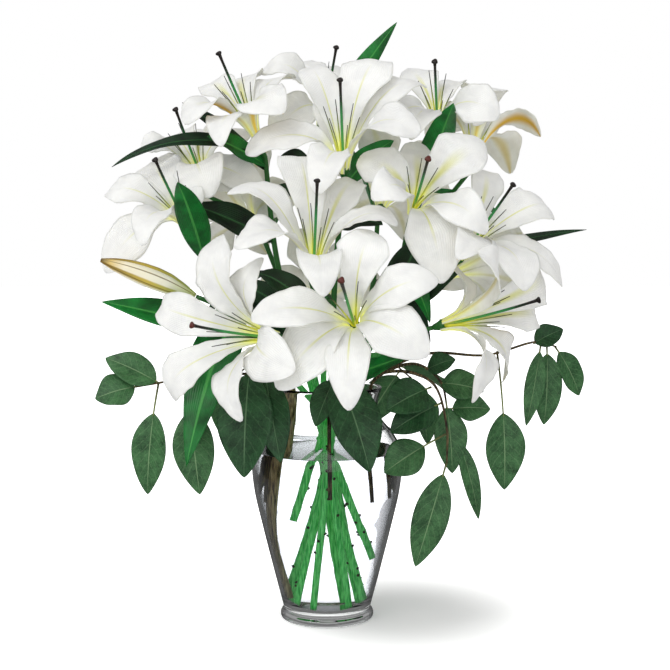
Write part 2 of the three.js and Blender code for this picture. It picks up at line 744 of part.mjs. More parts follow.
// ---- stems ----
function pedicelEnd(name) {
  if (buds[name]) {
    const foot = vec(buds[name].foot);
    const along = vec(buds[name].tip).sub(foot).normalize();
    const before = foot.clone().addScaledVector(along, -pedicel.budStraight);
    return { end: foot.clone().addScaledVector(along, -2 * gap), before };
  }
  const { axis, base } = bloomFrame(blooms[name]);
  const end = base.clone().addScaledVector(axis, -receptacle.height - gap);
  return { end, before: end.clone().addScaledVector(axis, -pedicel.straight) };
}

const stemCurves = {};

// A stem stands slantwise and straight in the vase, and curves to its bloom above the neck.
function stemCentres(name, stem) {
  const { end, before } = pedicelEnd(stem.bloom);
  const above = curve3([[...stem.neck, stemForm.neckLevel], ...stem.points, arr(before)]);
  const centres = [vec(stem.cut), ...above.getPoints(stemForm.steps), end];
  stemCurves[name] = centres.slice(1);
  return centres;
}

// A hole for a stem is cut a little deeper than the stem.
function lengthenCut(centres, extra) {
  centres[0].addScaledVector(centres[0].clone().sub(centres[1]).normalize(), extra);
}

function makeStem(name, stem, extra = 0) {
  const centres = stemCentres(name, stem);
  lengthenCut(centres, extra);
  let body = rod(centres, stemForm.radius + extra, stemForm.sides);
  for (const [bloom, points] of Object.entries(stem.branch ?? {})) {
    const branch = pedicelEnd(bloom);
    const from = nearestOn(stemCurves[name], vec(points[0]));
    const line = curve3([arr(from), ...points, arr(branch.before)]);
    body = body.add(rod([...line.getPoints(pedicel.steps), branch.end], pedicel.radius, pedicel.sides));
  }
  return body;
}

// A point part of the way along a row of centres.
function pointAlong(centres, at) {
  const station = Math.min(at, reachedLast) * (centres.length - 1);
  const first = Math.floor(station);
  return centres[first].clone().lerp(centres[first + 1], station - first);
}

// Where a branch leaves its stem: the place nearest to a point a little below the branch's first.
function nearestOn(centres, point) {
  const below = point.clone().add(new THREE.Vector3(0, 0, -pedicel.drop));
  let best = pointAlong(centres, 0.5);
  for (let s = 0.05; s < 0.95; s += 0.01) {
    const here = pointAlong(centres, s);
    if (here.distanceTo(below) < best.distanceTo(below)) best = here;
  }
  return best;
}

// The curve of a leaf from its root to its tip, bowed aside between them.
function leafCurve(root, tip, bowFor, bend, face) {
  const toTip = tip.clone().sub(root);
  const side = new THREE.Vector3().crossVectors(toTip, face).normalize();
  toTip.applyAxisAngle(face, THREE.MathUtils.degToRad(bend.swing));
  toTip.applyAxisAngle(side, THREE.MathUtils.degToRad(bend.lift)).multiplyScalar(bend.length);
  const end = root.clone().add(toTip);
  const [p1, p2] = leafHandles.map((share) => root.clone().lerp(end, share).add(bowFor(toTip)));
  return { curve: new THREE.CubicBezierCurve3(root, p1, p2, end), sideways: side.negate() };
}

// The way a leaf's face looks: up and outwards, and at the front of the bouquet to the front.
function leafFace(root, tip) {
  const out = new THREE.Vector3((root.x + tip.x) / 2, (root.y + tip.y) / 2, 0).normalize();
  const along = tip.clone().sub(root).normalize();
  const face = new THREE.Vector3(0, 0, 0.8).addScaledVector(out, 0.6);
  if (root.y < 60 && tip.y < 60) face.set(0.1 * Math.sign(tip.x), -0.8, 0.6);
  return face.addScaledVector(along, -face.dot(along)).normalize();
}

// A lance-shaped lily leaf, arched upwards.
function lanceLeaf(root, tip, leaf, bend, face) {
  const { curve, sideways } = leafCurve(root, tip, () => new THREE.Vector3(0, 0, leaf.arch), bend, face);
  return blade(curve, sideways, {
    stations: lanceForm.stations,
    thickness: leafThickness,
    width: (s) => leaf.width * (lanceForm.foot * (1 - s) + Math.sin(Math.PI * s ** 0.8) ** 0.9),
    lift: (s, half) => lanceForm.fold * half,
    wave: (s) => [lanceForm.wave * Math.sin(7 * s), lanceForm.wave * Math.sin(6 * s + 1)],
  });
}

// A broad pointed leaf on a little stalk of its own, arched towards its face.
function broadLeaf(root, tip, leaf, bend, face) {
  const bowFor = (toTip) => face.clone().multiplyScalar(broadForm.bow * toTip.length());
  const { curve, sideways } = leafCurve(root, tip, bowFor, bend, face);
  const stalk = leaf.stalk ?? broadStalk.share;
  const width = (s) => {
    const t = Math.max(s - stalk, 0) / (1 - stalk);
    return Math.max(broadStalk.width * (1 - t), leaf.width * Math.sin(Math.PI * t ** 0.8) ** 0.85);
  };
  return blade(curve, sideways, {
    stations: [0, ...broadForm.stations.map((t) => stalk + (1 - stalk) * t)],
    thickness: leafThickness,
    width,
    lift: (s, half) => broadForm.fold * half,
    wave: (s) => [Math.sin(8 * s), Math.sin(9 * s + 2)].map((part) => broadForm.wave * width(s) * part),
  });
}

function addBlades(name, centres, found, form) {
  let grown = solids.get(name);
  for (const leaf of found) {
    const root = pointAlong(centres, leaf.at);
    const tip = vec(leaf.tip);
    const face = leafFace(root, tip);
    const solid = bendClear((bend) => form(root, tip, leaf, bend, face), name);
    if (solid) {
      grown = grown.add(solid);
      place(solid, name);
    }
  }
  solids.set(name, grown);
}

function addLeaves(name, showy) {
  const found = leaves.filter((one) => one.stem === name && Boolean(one.showy) === showy);
  addBlades(name, stemCurves[name], found, lanceLeaf);
}

// ---- foliage sprays: a twig with broad pointed leaves ----
const twigCurves = {};

// A twig runs from its cut end to the neck of the vase, and arches outside.
function makeTwig(name, spray, extra = 0) {
  const [cut, neck, ...arch] = spray.twig;
  const lip = [neck[0] * twigLip.share, neck[1] * twigLip.share, vase.height + twigLip.rise];
  const above = curve3([neck, lip, ...arch]).getPoints(twigForm.steps);
  const bowed = (bow) => curve3([cut, bow, neck]).getPoints(twigForm.bowSteps).slice(0, -1);
  const below = spray.bow ? bowed(spray.bow) : [vec(cut)];
  const centres = [...below, ...above];
  const last = centres.length - 1;
  const radius = spray.radius ?? twigForm.radius;
  const radii = centres.map((_, i) => radius * (1 - twigForm.taper * (i / last) ** twigForm.power) + extra);
  twigCurves[name] = above;
  lengthenCut(centres, extra);
  return rod(centres, radii, twigForm.sides);
}

// ---- buds ----
function makeBud(name, bud) {
  const foot = vec(bud.foot);
  const tip = vec(bud.tip);
  const middle = foot.clone().lerp(tip, 0.5).add(new THREE.Vector3(0, 0, budForm.sag));
  const line = new THREE.QuadraticBezierCurve3(foot, middle, tip);
  const radii = budForm.swell.map((part) => part * bud.girth);
  const body = rod(line.getPoints(radii.length - 1), radii, budForm.sides);
  place(body, name);
  return body;
}

// ---- assembly ----
const bouquet = new THREE.Group();
const solids = new Map();

function show(name, solid, color, roughness) {
  const surface = new THREE.MeshStandardMaterial({ color, roughness, metalness: 0 });
  const mesh = new THREE.Mesh(geometryOf(solid), surface);
  mesh.name = name;
  bouquet.add(mesh);
}

// What has a fixed place comes first, then the leaves that show most, the petals, and the leaves among them.
const vaseSolid = makeVase();
place(vaseSolid, "vase");
for (const [name, stem] of Object.entries(stems)) solids.set(name, makeStem(name, stem));
for (const [name, spray] of Object.entries(sprays)) solids.set(name, makeTwig(name, spray));
for (const [name, solid] of solids) place(solid, name);
for (const [name, bud] of Object.entries(buds)) solids.set(name, makeBud(name, bud));
for (const [name, bloom] of Object.entries(blooms)) {
  const cup = makeReceptacle(bloomFrame(bloom));
  solids.set("petals_" + name, cup);
  place(cup, "petals_" + name);
}
for (const [name, bloom] of Object.entries(blooms)) solids.set("stamens_" + name, makeStamens(name, bloom));
for (const name of Object.keys(stems)) addLeaves(name, true);
for (const [name, bloom] of Object.entries(blooms)) solids.set("petals_" + name, makePetals(name, bloom));
for (const name of Object.keys(stems)) addLeaves(name, false);
for (const [name, spray] of Object.entries(sprays)) {
  addBlades(name, twigCurves[name], spray.leaves, broadLeaf);
}

const holes = Object.entries(stems).map(([name, stem]) => makeStem(name, stem, gap));
for (const [name, spray] of Object.entries(sprays)) holes.push(makeTwig(name, spray, gap));

show("vase", vaseSolid, colours.glass, kindRoughness.glass);
show("water", makeWater(holes), colours.water, kindRoughness.water);
for (const [name, solid] of solids) {
  const kind = name.split("_")[0];
  show(name, solid, colours[kind], kindRoughness[kind]);
}

export default bouquet;
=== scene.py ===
import math
import random

import bpy
import numpy as np
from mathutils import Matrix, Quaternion, Vector
from mathutils.kdtree import KDTree


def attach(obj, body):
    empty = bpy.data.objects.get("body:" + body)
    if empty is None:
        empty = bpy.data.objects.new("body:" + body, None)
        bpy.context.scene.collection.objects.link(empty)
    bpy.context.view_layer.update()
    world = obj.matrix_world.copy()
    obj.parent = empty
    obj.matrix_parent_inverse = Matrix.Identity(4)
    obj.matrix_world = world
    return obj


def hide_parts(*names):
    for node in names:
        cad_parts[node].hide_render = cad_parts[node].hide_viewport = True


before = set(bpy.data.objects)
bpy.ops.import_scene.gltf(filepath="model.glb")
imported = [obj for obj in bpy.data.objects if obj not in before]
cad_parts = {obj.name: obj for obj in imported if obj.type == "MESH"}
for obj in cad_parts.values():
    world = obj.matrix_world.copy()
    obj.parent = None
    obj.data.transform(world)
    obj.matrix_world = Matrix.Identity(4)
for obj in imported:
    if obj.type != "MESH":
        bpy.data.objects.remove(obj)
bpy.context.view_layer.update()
scene = bpy.context.scene
scene.view_settings.view_transform = "Standard"
print("frame loaded:", len(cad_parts), "nodes")

# all places and sizes below are in millimetres, the bouquet's front faces -Y
metre = 0.001
fullTurn = 6.3  # radians, for random directions

# the camera stands where the photograph was taken from
camera = {"place": (0, -1290, 396), "down": 3.43, "right": 0.40, "lens": 61.9}
bpy.ops.object.camera_add(
    location=Vector(camera["place"]) * metre,
    rotation=(math.radians(90 - camera["down"]), 0, math.radians(-camera["right"])),
)
scene.camera = bpy.context.object
scene.camera.data.lens = camera["lens"]
print("camera set")


def linear(hexCode):
    # an sRGB hex value as linear red, green, blue and alpha
    parts = [int(hexCode[i:i + 2], 16) / 255 for i in (1, 3, 5)]
    return [p / 12.92 if p <= 0.04045 else ((p + 0.055) / 1.055) ** 2.4 for p in parts] + [1]


def addNode(tree, kind, inputs=None, stops=None, **settings):
    # one node with its settings, its values or links by input name, and a ramp's stops;
    # a node given as a value is linked from the first output that it shows
    node = tree.nodes.new("ShaderNode" + kind)
    for name, value in settings.items():
        setattr(node, name, value)
    for name, value in (inputs or {}).items():
        if isinstance(value, bpy.types.Node):
            value = next(output for output in value.outputs if output.enabled)
        if isinstance(value, bpy.types.NodeSocket):
            tree.links.new(value, node.inputs[name])
        else:
            node.inputs[name].default_value = value
    for i, (place, shade) in enumerate(stops or []):
        ramp = node.color_ramp.elements
        stop = ramp[i] if i < 2 else ramp.new(place)
        stop.position, stop.color = place, linear(shade)
    return node


def newMaterial(name):
    material = bpy.data.materials.new(name)
    material.use_nodes = True
    tree = material.node_tree
    tree.nodes.clear()
    return material, tree


def bladePlace(tree):
    # across and along a petal or leaf from its UV map, how far off its middle line, and the place on the object
    place = addNode(tree, "SeparateXYZ", {"Vector": addNode(tree, "UVMap", uv_map="UVMap")}).outputs
    offMiddle = addNode(tree, "Math", {0: place["X"], 1: 0.5}, operation="SUBTRACT")
    fromMiddle = addNode(tree, "Math", {0: offMiddle}, operation="ABSOLUTE")
    return place["X"], place["Y"], fromMiddle, addNode(tree, "TexCoord").outputs["Object"]


def smooth(low, high, x):
    t = min(max((x - low) / (high - low), 0), 1)
    return t * t * (3 - 2 * t)


def turned(vector, axis, degrees):
    return Quaternion(axis, math.radians(degrees)) @ vector


def catmull(points, t):
    # a centripetal curve through the points, as the solids' stems and twigs have
    points = [Vector(p) for p in points]
    last = len(points) - 1
    place = min(max(t, 0), 1) * last
    i = min(int(place), last - 1)
    w = place - i
    p1, p2 = points[i], points[i + 1]
    p0 = points[i - 1] if i > 0 else 2 * points[0] - points[1]
    p3 = points[i + 2] if i + 2 <= last else 2 * points[last] - points[last - 1]
    d0, d1, d2 = [max((a - b).length_squared ** 0.25, 1e-4) for a, b in ((p0, p1), (p1, p2), (p2, p3))]
    m1 = ((p1 - p0) / d0 - (p2 - p0) / (d0 + d1) + (p2 - p1) / d1) * d1
    m2 = ((p2 - p1) / d1 - (p3 - p1) / (d1 + d2) + (p3 - p2) / d2) * d1
    return p1 + m1 * w + (3 * (p2 - p1) - 2 * m1 - m2) * w ** 2 + (2 * (p1 - p2) + m1 + m2) * w ** 3


def bezier(p, s):
    a, b, c, d = (1 - s) ** 3, 3 * s * (1 - s) ** 2, 3 * s * s * (1 - s), s ** 3
    return a * p[0] + b * p[1] + c * p[2] + d * p[3]


def bezierAlong(p, s):
    a, b, c = 3 * (1 - s) ** 2, 6 * s * (1 - s), 3 * s * s
    return (a * (p[1] - p[0]) + b * (p[2] - p[1]) + c * (p[3] - p[2])).normalized()


def bowed(start, middle, end, rows):
    # points along a shallow bow
    shares = [i / rows for i in range(rows + 1)]
    return [(1 - s) ** 2 * start + 2 * s * (1 - s) * middle + s * s * end for s in shares]


def stepOf(values, s):
    # the value that stands at the share s of an even row of them
    return values[round(s * (len(values) - 1))]


def growGrid(columns, rows, placeRow, material=0):
    # a primitive grid laid over a surface: placeRow gives the row at s as a function of u from -1 to 1
    bpy.ops.object.select_all(action="DESELECT")
    bpy.ops.mesh.primitive_grid_add(x_subdivisions=columns, y_subdivisions=rows, size=2)
    piece = bpy.context.object
    mesh = piece.data
    flat = np.empty(len(mesh.vertices) * 3)
    mesh.vertices.foreach_get("co", flat)
    flat = flat.reshape(-1, 3)
    places = {}
    for k, (u, v, _) in enumerate(flat):
        row = round(float(v + 1) / 2, 5)
        if row not in places:
            places[row] = placeRow(row)
        flat[k] = places[row](float(u))
    mesh.vertices.foreach_set("co", (flat * metre).ravel())
    for face in mesh.polygons:
        face.material_index = material
    mesh.update()
    return piece


def growTube(centres, radiusAt, sides=12, material=0, swellAt=None, across=(0.31, 0.52, 0.79)):
    # a closed rod round a row of centres: the grid is wrapped round them, its seam merged and its ends filled
    rings = []
    across = Vector(across)
    last = len(centres) - 1
    for i, centre in enumerate(centres):
        along = (centres[min(i + 1, last)] - centres[max(i - 1, 0)]).normalized()
        across = (across - across.dot(along) * along).normalized()
        rings.append((centre, across.copy(), along.cross(across)))

    def placeRow(s):
        centre, first, second = rings[round(s * last)]
        radius = radiusAt(s)

        def place(u):
            angle = -math.pi * u
            swell = swellAt(s, angle) if swellAt else 1
            return centre + radius * swell * (first * math.cos(angle) + second * math.sin(angle))
        return place

    piece = growGrid(sides, last, placeRow, material)
    bpy.ops.object.mode_set(mode="EDIT")
    bpy.ops.mesh.select_all(action="SELECT")
    bpy.ops.mesh.remove_doubles(threshold=1e-7)
    bpy.ops.mesh.select_non_manifold()
    bpy.ops.mesh.fill_holes(sides=0)
    bpy.ops.mesh.select_all(action="SELECT")
    bpy.ops.mesh.normals_make_consistent(inside=False)
    bpy.ops.object.mode_set(mode="OBJECT")
    return piece


def joined(name, pieces, materials):
    bpy.ops.object.select_all(action="DESELECT")
    for piece in pieces:
        piece.select_set(True)
        if not piece.data.materials:
            for material in materials:
                piece.data.materials.append(material)
    bpy.context.view_layer.objects.active = pieces[0]
    if len(pieces) > 1:
        bpy.ops.object.join()
    whole = bpy.context.object
    whole.name = whole.data.name = name
    bpy.ops.object.shade_smooth()
    return whole


def thicken(piece, thickness, otherSide=0):
    # a sheet's two sides can have different materials, the second that many places on in its list
    shell = piece.modifiers.new("thickness", "SOLIDIFY")
    shell.thickness = thickness * metre
    shell.offset = 0
    shell.material_offset = otherSide
    bpy.ops.object.modifier_apply(modifier=shell.name)


def settle(piece, node):
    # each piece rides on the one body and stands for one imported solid
    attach(piece, "root")
    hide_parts(node)


def setGold(piece, gold):
    # how golden a petal's midrib is, read by its material
    values = piece.data.attributes.new("gold", "FLOAT", "POINT")
    values.data.foreach_set("value", [gold] * len(piece.data.vertices))


# the blooms: throat, the way the pistil points, and the six petal tips from the throat
blooms = {
    "l": {"wide": "even", "throat": (25, -150, 346), "pistil": (-13, -82, 41),
          "tips": [(20, -5, 84), (83, -30, 36), (71, -55, -35),
                   (-4, -47, -88), (-74, -20, -70), (-99, -20, -2)]},
    "k": {"wide": "even", "throat": (-70, -120, 326), "pistil": (-68, -60, 14),
          "tips": [(-44, -10, 95), (7, -30, 78), (40, -75, -30),
                   (-13, -57, -81), (-84, -15, -64), (-100, 30, 31)]},
    "m": {"wide": "even", "throat": (142, -90, 340), "pistil": (82, -33, 24),
          "tips": [(31, -65, 61), (-18, 45, 70), (82, 50, 50), (80, 60, 0), (47, 30, -68), (2, -60, -80)]},
    "h": {"throat": (-13, -120, 405), "pistil": (4, -39, 83),
          "tips": [(-88, 5, 64), (-21, 45, 100), (50, 60, 75),
                   (75, -30, 40), (9, -92, -38), (-75, -60, 7)]},
    "i": {"throat": (94, -70, 466), "pistil": (7, -80, 40),
          "tips": [(4, 60, 66), (74, 20, 62), (66, -60, -38),
                   (22, -55, -88), (-50, -80, -5), (-60, 10, 44)]},
    "j": {"throat": (153, -60, 421), "pistil": (42, -50, 65),
          "tips": [(11, 40, 80), (89, 30, 33), (96, -10, -47),
                   (32, -73, -61), (-32, -90, -29), (-52, -30, 30)]},
    "f": {"throat": (-159, -30, 454), "pistil": (-20, -70, 57),
          "tips": [(-83, 10, 20), (-79, -20, -65), (-4, -79, -61),
                   (63, -71, -30), (60, 45, 38), (-40, 60, 60)]},
    "c": {"throat": (17, -60, 518), "pistil": (-4, -55, 74),
          "tips": [(-41, 30, 88), (44, 25, 95), (89, 10, 68),
                   (75, -62, 8), (-27, -80, -52), (-103, -5, -4)]},
    "a": {"throat": (-86, -10, 556), "pistil": (-32, -45, 73),
          "tips": [(-50, 55, 42), (-62, -55, -12), (-22, -85, -38),
                   (41, -82, -4), (50, 40, 52), (-8, 78, 55)]},
    "g": {"throat": (-147, 30, 509), "pistil": (-19, -64, 63),
          "tips": [(5, 75, 50), (-35, 50, 38), (-66, -15, 10),
                   (16, -81, -56), (81, -40, -17), (55, 45, 45)]},
    "d": {"throat": (124, 20, 567), "pistil": (-10, -75, 52),
          "tips": [(-16, -85, -41), (-46, -76, -6), (-30, 60, 60),
                   (18, 75, 50), (60, 30, 0), (40, -60, -55)]},
    "b": {"throat": (-2, 70, 580), "pistil": (14, -61, 67), "curl": 0.46,
          "tips": [(-74, -30, 35), (-50, 60, 58), (20, 85, 45),
                   (70, 20, 10), (6, -70, -50), (-60, -50, -40)]},
    "e": {"throat": (172, 60, 541), "pistil": (20, 45, 75), "curl": 0.62,
          "tips": [(62, 20, 25), (50, 50, -34), (30, 90, 10), (-50, 70, 10), (-66, 0, 25), (-8, -60, 50)]},
    "p": {"throat": (-95, 100, 452), "pistil": (-38, 72, 40), "turn": 20},
    "q": {"throat": (70, 125, 478), "pistil": (18, 74, 48), "turn": 50},
    "r": {"throat": (160, 95, 392), "pistil": (62, 60, 26), "turn": 5},
    "s": {"throat": (0, 150, 362), "pistil": (-8, 86, 22), "turn": 35},
}
petal = {
    "outerWidth": 44, "innerWidth": 62, "thickness": 0.9, "clawHeight": 45, "throatDepth": 22, "curl": 0.34,
    "evenReach": 82, "evenRise": 34, "columns": 16, "rows": 44,
    "outerSector": 0.52, "innerSector": 0.58, "ruffle": 4.2, "midrib": 1.2, "layer": 1.8,
    "waveSize": (1.6, 3), "waveRate": (0.7, 1.2), "crinkle": 0.6, "roll": 9, "cup": (0.55, 0.85),
}
# how golden each petal's midrib is, on blooms where it shows
goldenRibs = {
    "a": (0.8, 1, 0.5, 0.9, 0.4, 0.8),
    "d": (0.3, 0.3, 0.6, 0.6, 0.5, 0.3),
    "e": (1, 0.6, 0.6, 0.5, 0.5, 0.7),
    "g": (0.7, 0.4, 0.3, 0.3, 0.4, 0.4),
    "h": (0.3, 0.3, 0.6, 0.3, 0.3, 0.3),
    "i": (0.9, 0.9, 0.3, 0.3, 0.4, 0.9),
    "j": (0.7, 0.4, 0.3, 0.3, 0.8, 0.9),
    "m": (0.5, 0.5, 0.9, 1, 0.6, 0.3),
}


def bloomFrame(bloom):
    axis = Vector(bloom["pistil"]).normalized()
    return axis, Vector(bloom["throat"]) - petal["throatDepth"] * axis


def bloomTips(bloom):
    # six tips from the table, or six even ones round the pistil
    if "tips" in bloom:
        return [Vector(tip) for tip in bloom["tips"]]
    axis, _ = bloomFrame(bloom)
    first = (Vector((0, 0, 1)) - axis.z * axis).normalized()
    second = axis.cross(first)
    tips = []
    for k in range(6):
        angle = math.radians(bloom["turn"] + 60 * k)
        out = first * math.cos(angle) + second * math.sin(angle)
        tips.append(petal["evenReach"] * out + petal["evenRise"] * axis)
    return tips


# the solids' petals and leaves are bent aside where something is in their way: the bends that they can have
bends = []
for length in (1, 0.9, 0.8, 0.68, 0.56, 0.44):
    turns = (0, 7, -7, 14, -14, 21, -21, 28, -28)
    ring = [(swing, lift, length) for swing in turns for lift in turns]
    bends += sorted(ring, key=lambda bend: math.hypot(bend[0], bend[1]))


def corners(node):
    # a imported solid's corners, in which a bent blade's tip can be looked up
    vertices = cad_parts[node].data.vertices
    tree = KDTree(len(vertices))
    for i, vertex in enumerate(vertices):
        tree.insert(vertex.co, i)
    tree.balance()
    return tree


def bendOf(owner, tree, curveFor):
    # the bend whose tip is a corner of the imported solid
    found, least = bends[0], 1e9
    for bend in bends:
        away = tree.find(curveFor(bend)[3] * metre)[2] / metre
        if away < least - 0.05:
            found, least = bend, away
        if away < 0.3:
            break
    if least > 1:
        print("a blade of", owner, "is", round(least, 1), "mm from the solid's")
    return found


def petalCurve(axis, base, throat, tip, curl, bend):
    # the four points that guide a petal's middle line, and its sideways direction
    swing, lift, length = bend
    toTip = turned(throat + tip - base, axis, swing)
    toTip = turned(toTip, axis.cross(toTip).normalized(), lift) * length
    rise = toTip.dot(axis)
    out = toTip - rise * axis
    radial = out.normalized()
    claw = petal["clawHeight"] * length
    return [
        base + 4.6 * radial - 3 * axis,
        base + 7 * radial + claw * axis,
        base + 0.62 * out.length * radial + (rise + curl * toTip.length) * axis,
        base + toTip,
        axis.cross(radial).normalized(),
    ]


def growPetal(axis, base, curve, inner, length, chance):
    # the foot wraps round the pistil's axis, then the free blade flattens, with a ruffled margin and a midrib
    widest = petal["innerWidth" if inner else "outerWidth"] * (0.5 + 0.5 * length)
    sector = petal["innerSector" if inner else "outerSector"]
    sideways = curve[4]
    waves = []
    for _ in ("left margin", "right margin"):
        size, phase = chance.uniform(*petal["waveSize"]), chance.uniform(0, fullTurn)
        waves.append((size, phase, chance.uniform(*petal["waveRate"])))
    roll = chance.uniform(-petal["roll"], petal["roll"])
    cup = chance.uniform(*petal["cup"])

    def placeRow(s):
        s = min(max(s, 0.0), 0.997)
        centre, along = bezier(curve, s), bezierAlong(curve, s)
        side = (sideways - sideways.dot(along) * along).normalized()
        side = turned(side, along, roll * smooth(0.35, 1, s))
        face = along.cross(side)
        out = centre - base
        radius = (out - out.dot(axis) * axis).length
        free = widest * (0.15 * (1 - s) + math.sin(math.pi * s ** 1.1) ** 0.6)
        half = min(free, 2 * sector * radius) / 2
        flatter = 1 - cup * smooth(0.4, 0.8, s)
        behind = 0 if inner else petal["layer"] * (1 - smooth(0.35, 0.75, s))

        def place(u):
            phi = half * u / radius
            lateral = radius * math.sin(phi)
            lift = radius * (1 - math.cos(phi)) * flatter - behind
            size, phase, rate = waves[0 if u < 0 else 1]
            margin = abs(u) ** 2.2 * smooth(0.12, 0.5, s) * (1 - s) ** 0.25
            lift += petal["ruffle"] * size / 2.3 * margin * math.sin(2 * math.pi * 2.1 * rate * s + phase)
            crinkle = math.sin(53 * s + 3 * phase) * (1 + 0.6 * math.sin(19 * s + phase))
            lift += petal["crinkle"] * margin * crinkle
            lift -= 0.09 * half * abs(u) ** 3 * smooth(0.5, 0.9, s)
            lift -= petal["midrib"] * math.exp(-(u / 0.1) ** 2) * (1 - 0.75 * s) * smooth(0, 0.1, s)
            return centre + side * lateral + face * lift
        return place

    return growGrid(petal["columns"], petal["rows"], placeRow)


# lily petals: living tissue over air, matt and faintly see-through, so white with soft warm and cool greys
def petalMaterial(name, back):
    material, tree = newMaterial(name)
    across, along, fromMiddle, objectPlace = bladePlace(tree)
    # soft clouding about 18 mm across
    cloud = addNode(tree, "TexNoise", {"Vector": objectPlace, "Scale": 55.0, "Detail": 3.0})
    shades = ("#e4e2d9", "#f1f0ea") if back else ("#ebebe9", "#f5f5f2")
    tint = addNode(tree, "ValToRGB", {"Fac": cloud}, stops=[(0.36, shades[0]), (0.6, shades[1])])
    # yellow green down in the throat, strongest beside the midrib
    throat = addNode(tree, "MapRange", {
        "Value": along, "From Min": 0.08, "From Max": 0.46 if back else 0.38, "To Min": 1.0, "To Max": 0.0,
    }, interpolation_type="SMOOTHSTEP")
    nearMiddle = addNode(tree, "MapRange", {
        "Value": fromMiddle, "From Min": 0.02, "From Max": 0.42, "To Min": 1.0, "To Max": 0.35,
    }, interpolation_type="SMOOTHSTEP")
    share = addNode(tree, "Math", {0: throat, 1: nearMiddle}, operation="MULTIPLY")
    throatColour = linear("#d8de6c" if back else "#eef05a")
    green = addNode(tree, "Mix", {0: share, 6: tint, 7: throatColour}, data_type="RGBA")
    # the midrib: a faint pale green line on the face, a broad yellow green one on the back
    gold = addNode(tree, "Attribute", attribute_name="gold").outputs["Fac"]
    narrow, wide = (0.13, 0.38) if back else (0.035, 0.2)
    ribEdge = addNode(tree, "MapRange", {"Value": gold, "From Min": 0.4, "To Min": narrow, "To Max": wide})
    rib = addNode(tree, "MapRange", {
        "Value": fromMiddle, "From Min": 0.01, "From Max": ribEdge, "To Min": 1.0, "To Max": 0.0,
    }, interpolation_type="SMOOTHSTEP")
    if back:
        fade = addNode(tree, "MapRange", {"Value": gold, "To Min": 0.3, "To Max": 1.0})
        ribColour = addNode(tree, "Mix", {
            0: gold, 6: linear("#cbd494"), 7: linear("#d8ac1c"),
        }, data_type="RGBA")
    else:
        fade = addNode(tree, "MapRange", {
            "Value": along, "From Min": 0.35, "From Max": 0.8, "To Min": 0.9, "To Max": 0.0,
        }, interpolation_type="SMOOTHSTEP")
        ribColour = linear("#dfe07c")
    ribShare = addNode(tree, "Math", {0: rib, 1: fade}, operation="MULTIPLY")
    ribbed = addNode(tree, "Mix", {0: ribShare, 6: green, 7: ribColour}, data_type="RGBA")
    # veins run along the petal, about 2 mm apart, a touch greyer than the tissue between them
    wobble = addNode(tree, "TexNoise", {"Vector": objectPlace, "Scale": 70.0})
    wander = addNode(tree, "Math", {0: wobble, 1: 0.02, 2: across}, operation="MULTIPLY_ADD")
    stripes = addNode(tree, "Math", {0: wander, 1: 150.0}, operation="MULTIPLY")
    veins = addNode(tree, "Math", {0: stripes}, operation="SINE")
    dim = addNode(tree, "MapRange", {
        "Value": veins, "From Min": 0.3, "From Max": 1.0, "To Min": 0.0, "To Max": 0.1,
    })
    # painted glow: a faint emission, strongest in the throat, stands in for light coming through the thin
    # tissue
    paintedGlow = addNode(tree, "Math", {0: share, 1: 0.45, 2: 0.04}, operation="MULTIPLY_ADD")
    # a thin grey edge, painted shade standing in for the dark lines where petals overlap
    margin = addNode(tree, "MapRange", {
        "Value": fromMiddle, "From Min": 0.45, "From Max": 0.5, "To Min": 0.0, "To Max": 0.35,
    }, interpolation_type="SMOOTHSTEP")
    veinsAndPaintedEdge = addNode(tree, "Math", {0: dim, 1: margin}, operation="MAXIMUM")
    final = addNode(tree, "Mix", {0: veinsAndPaintedEdge, 6: ribbed, 7: linear("#c6cac2")}, data_type="RGBA")
    height = addNode(tree, "Math", {0: cloud, 1: 3.0, 2: veins}, operation="MULTIPLY_ADD")
    bump = addNode(tree, "Bump", {"Height": height, "Strength": 0.3, "Distance": 0.0005})
    skin = addNode(tree, "BsdfPrincipled", {
        "Base Color": final, "Roughness": 0.5, "Specular IOR Level": 0.4, "Normal": bump,
        "Subsurface Weight": 0.15, "Subsurface Radius": (1.0, 0.95, 0.8), "Subsurface Scale": 0.002,
        "Sheen Weight": 0.08, "Sheen Roughness": 0.5,
        "Emission Color": final, "Emission Strength": paintedGlow,
    })
    addNode(tree, "OutputMaterial", {"Surface": skin})
    return material


petalFace = petalMaterial("lilyPetalFace", False)
petalBack = petalMaterial("lilyPetalBack", True)


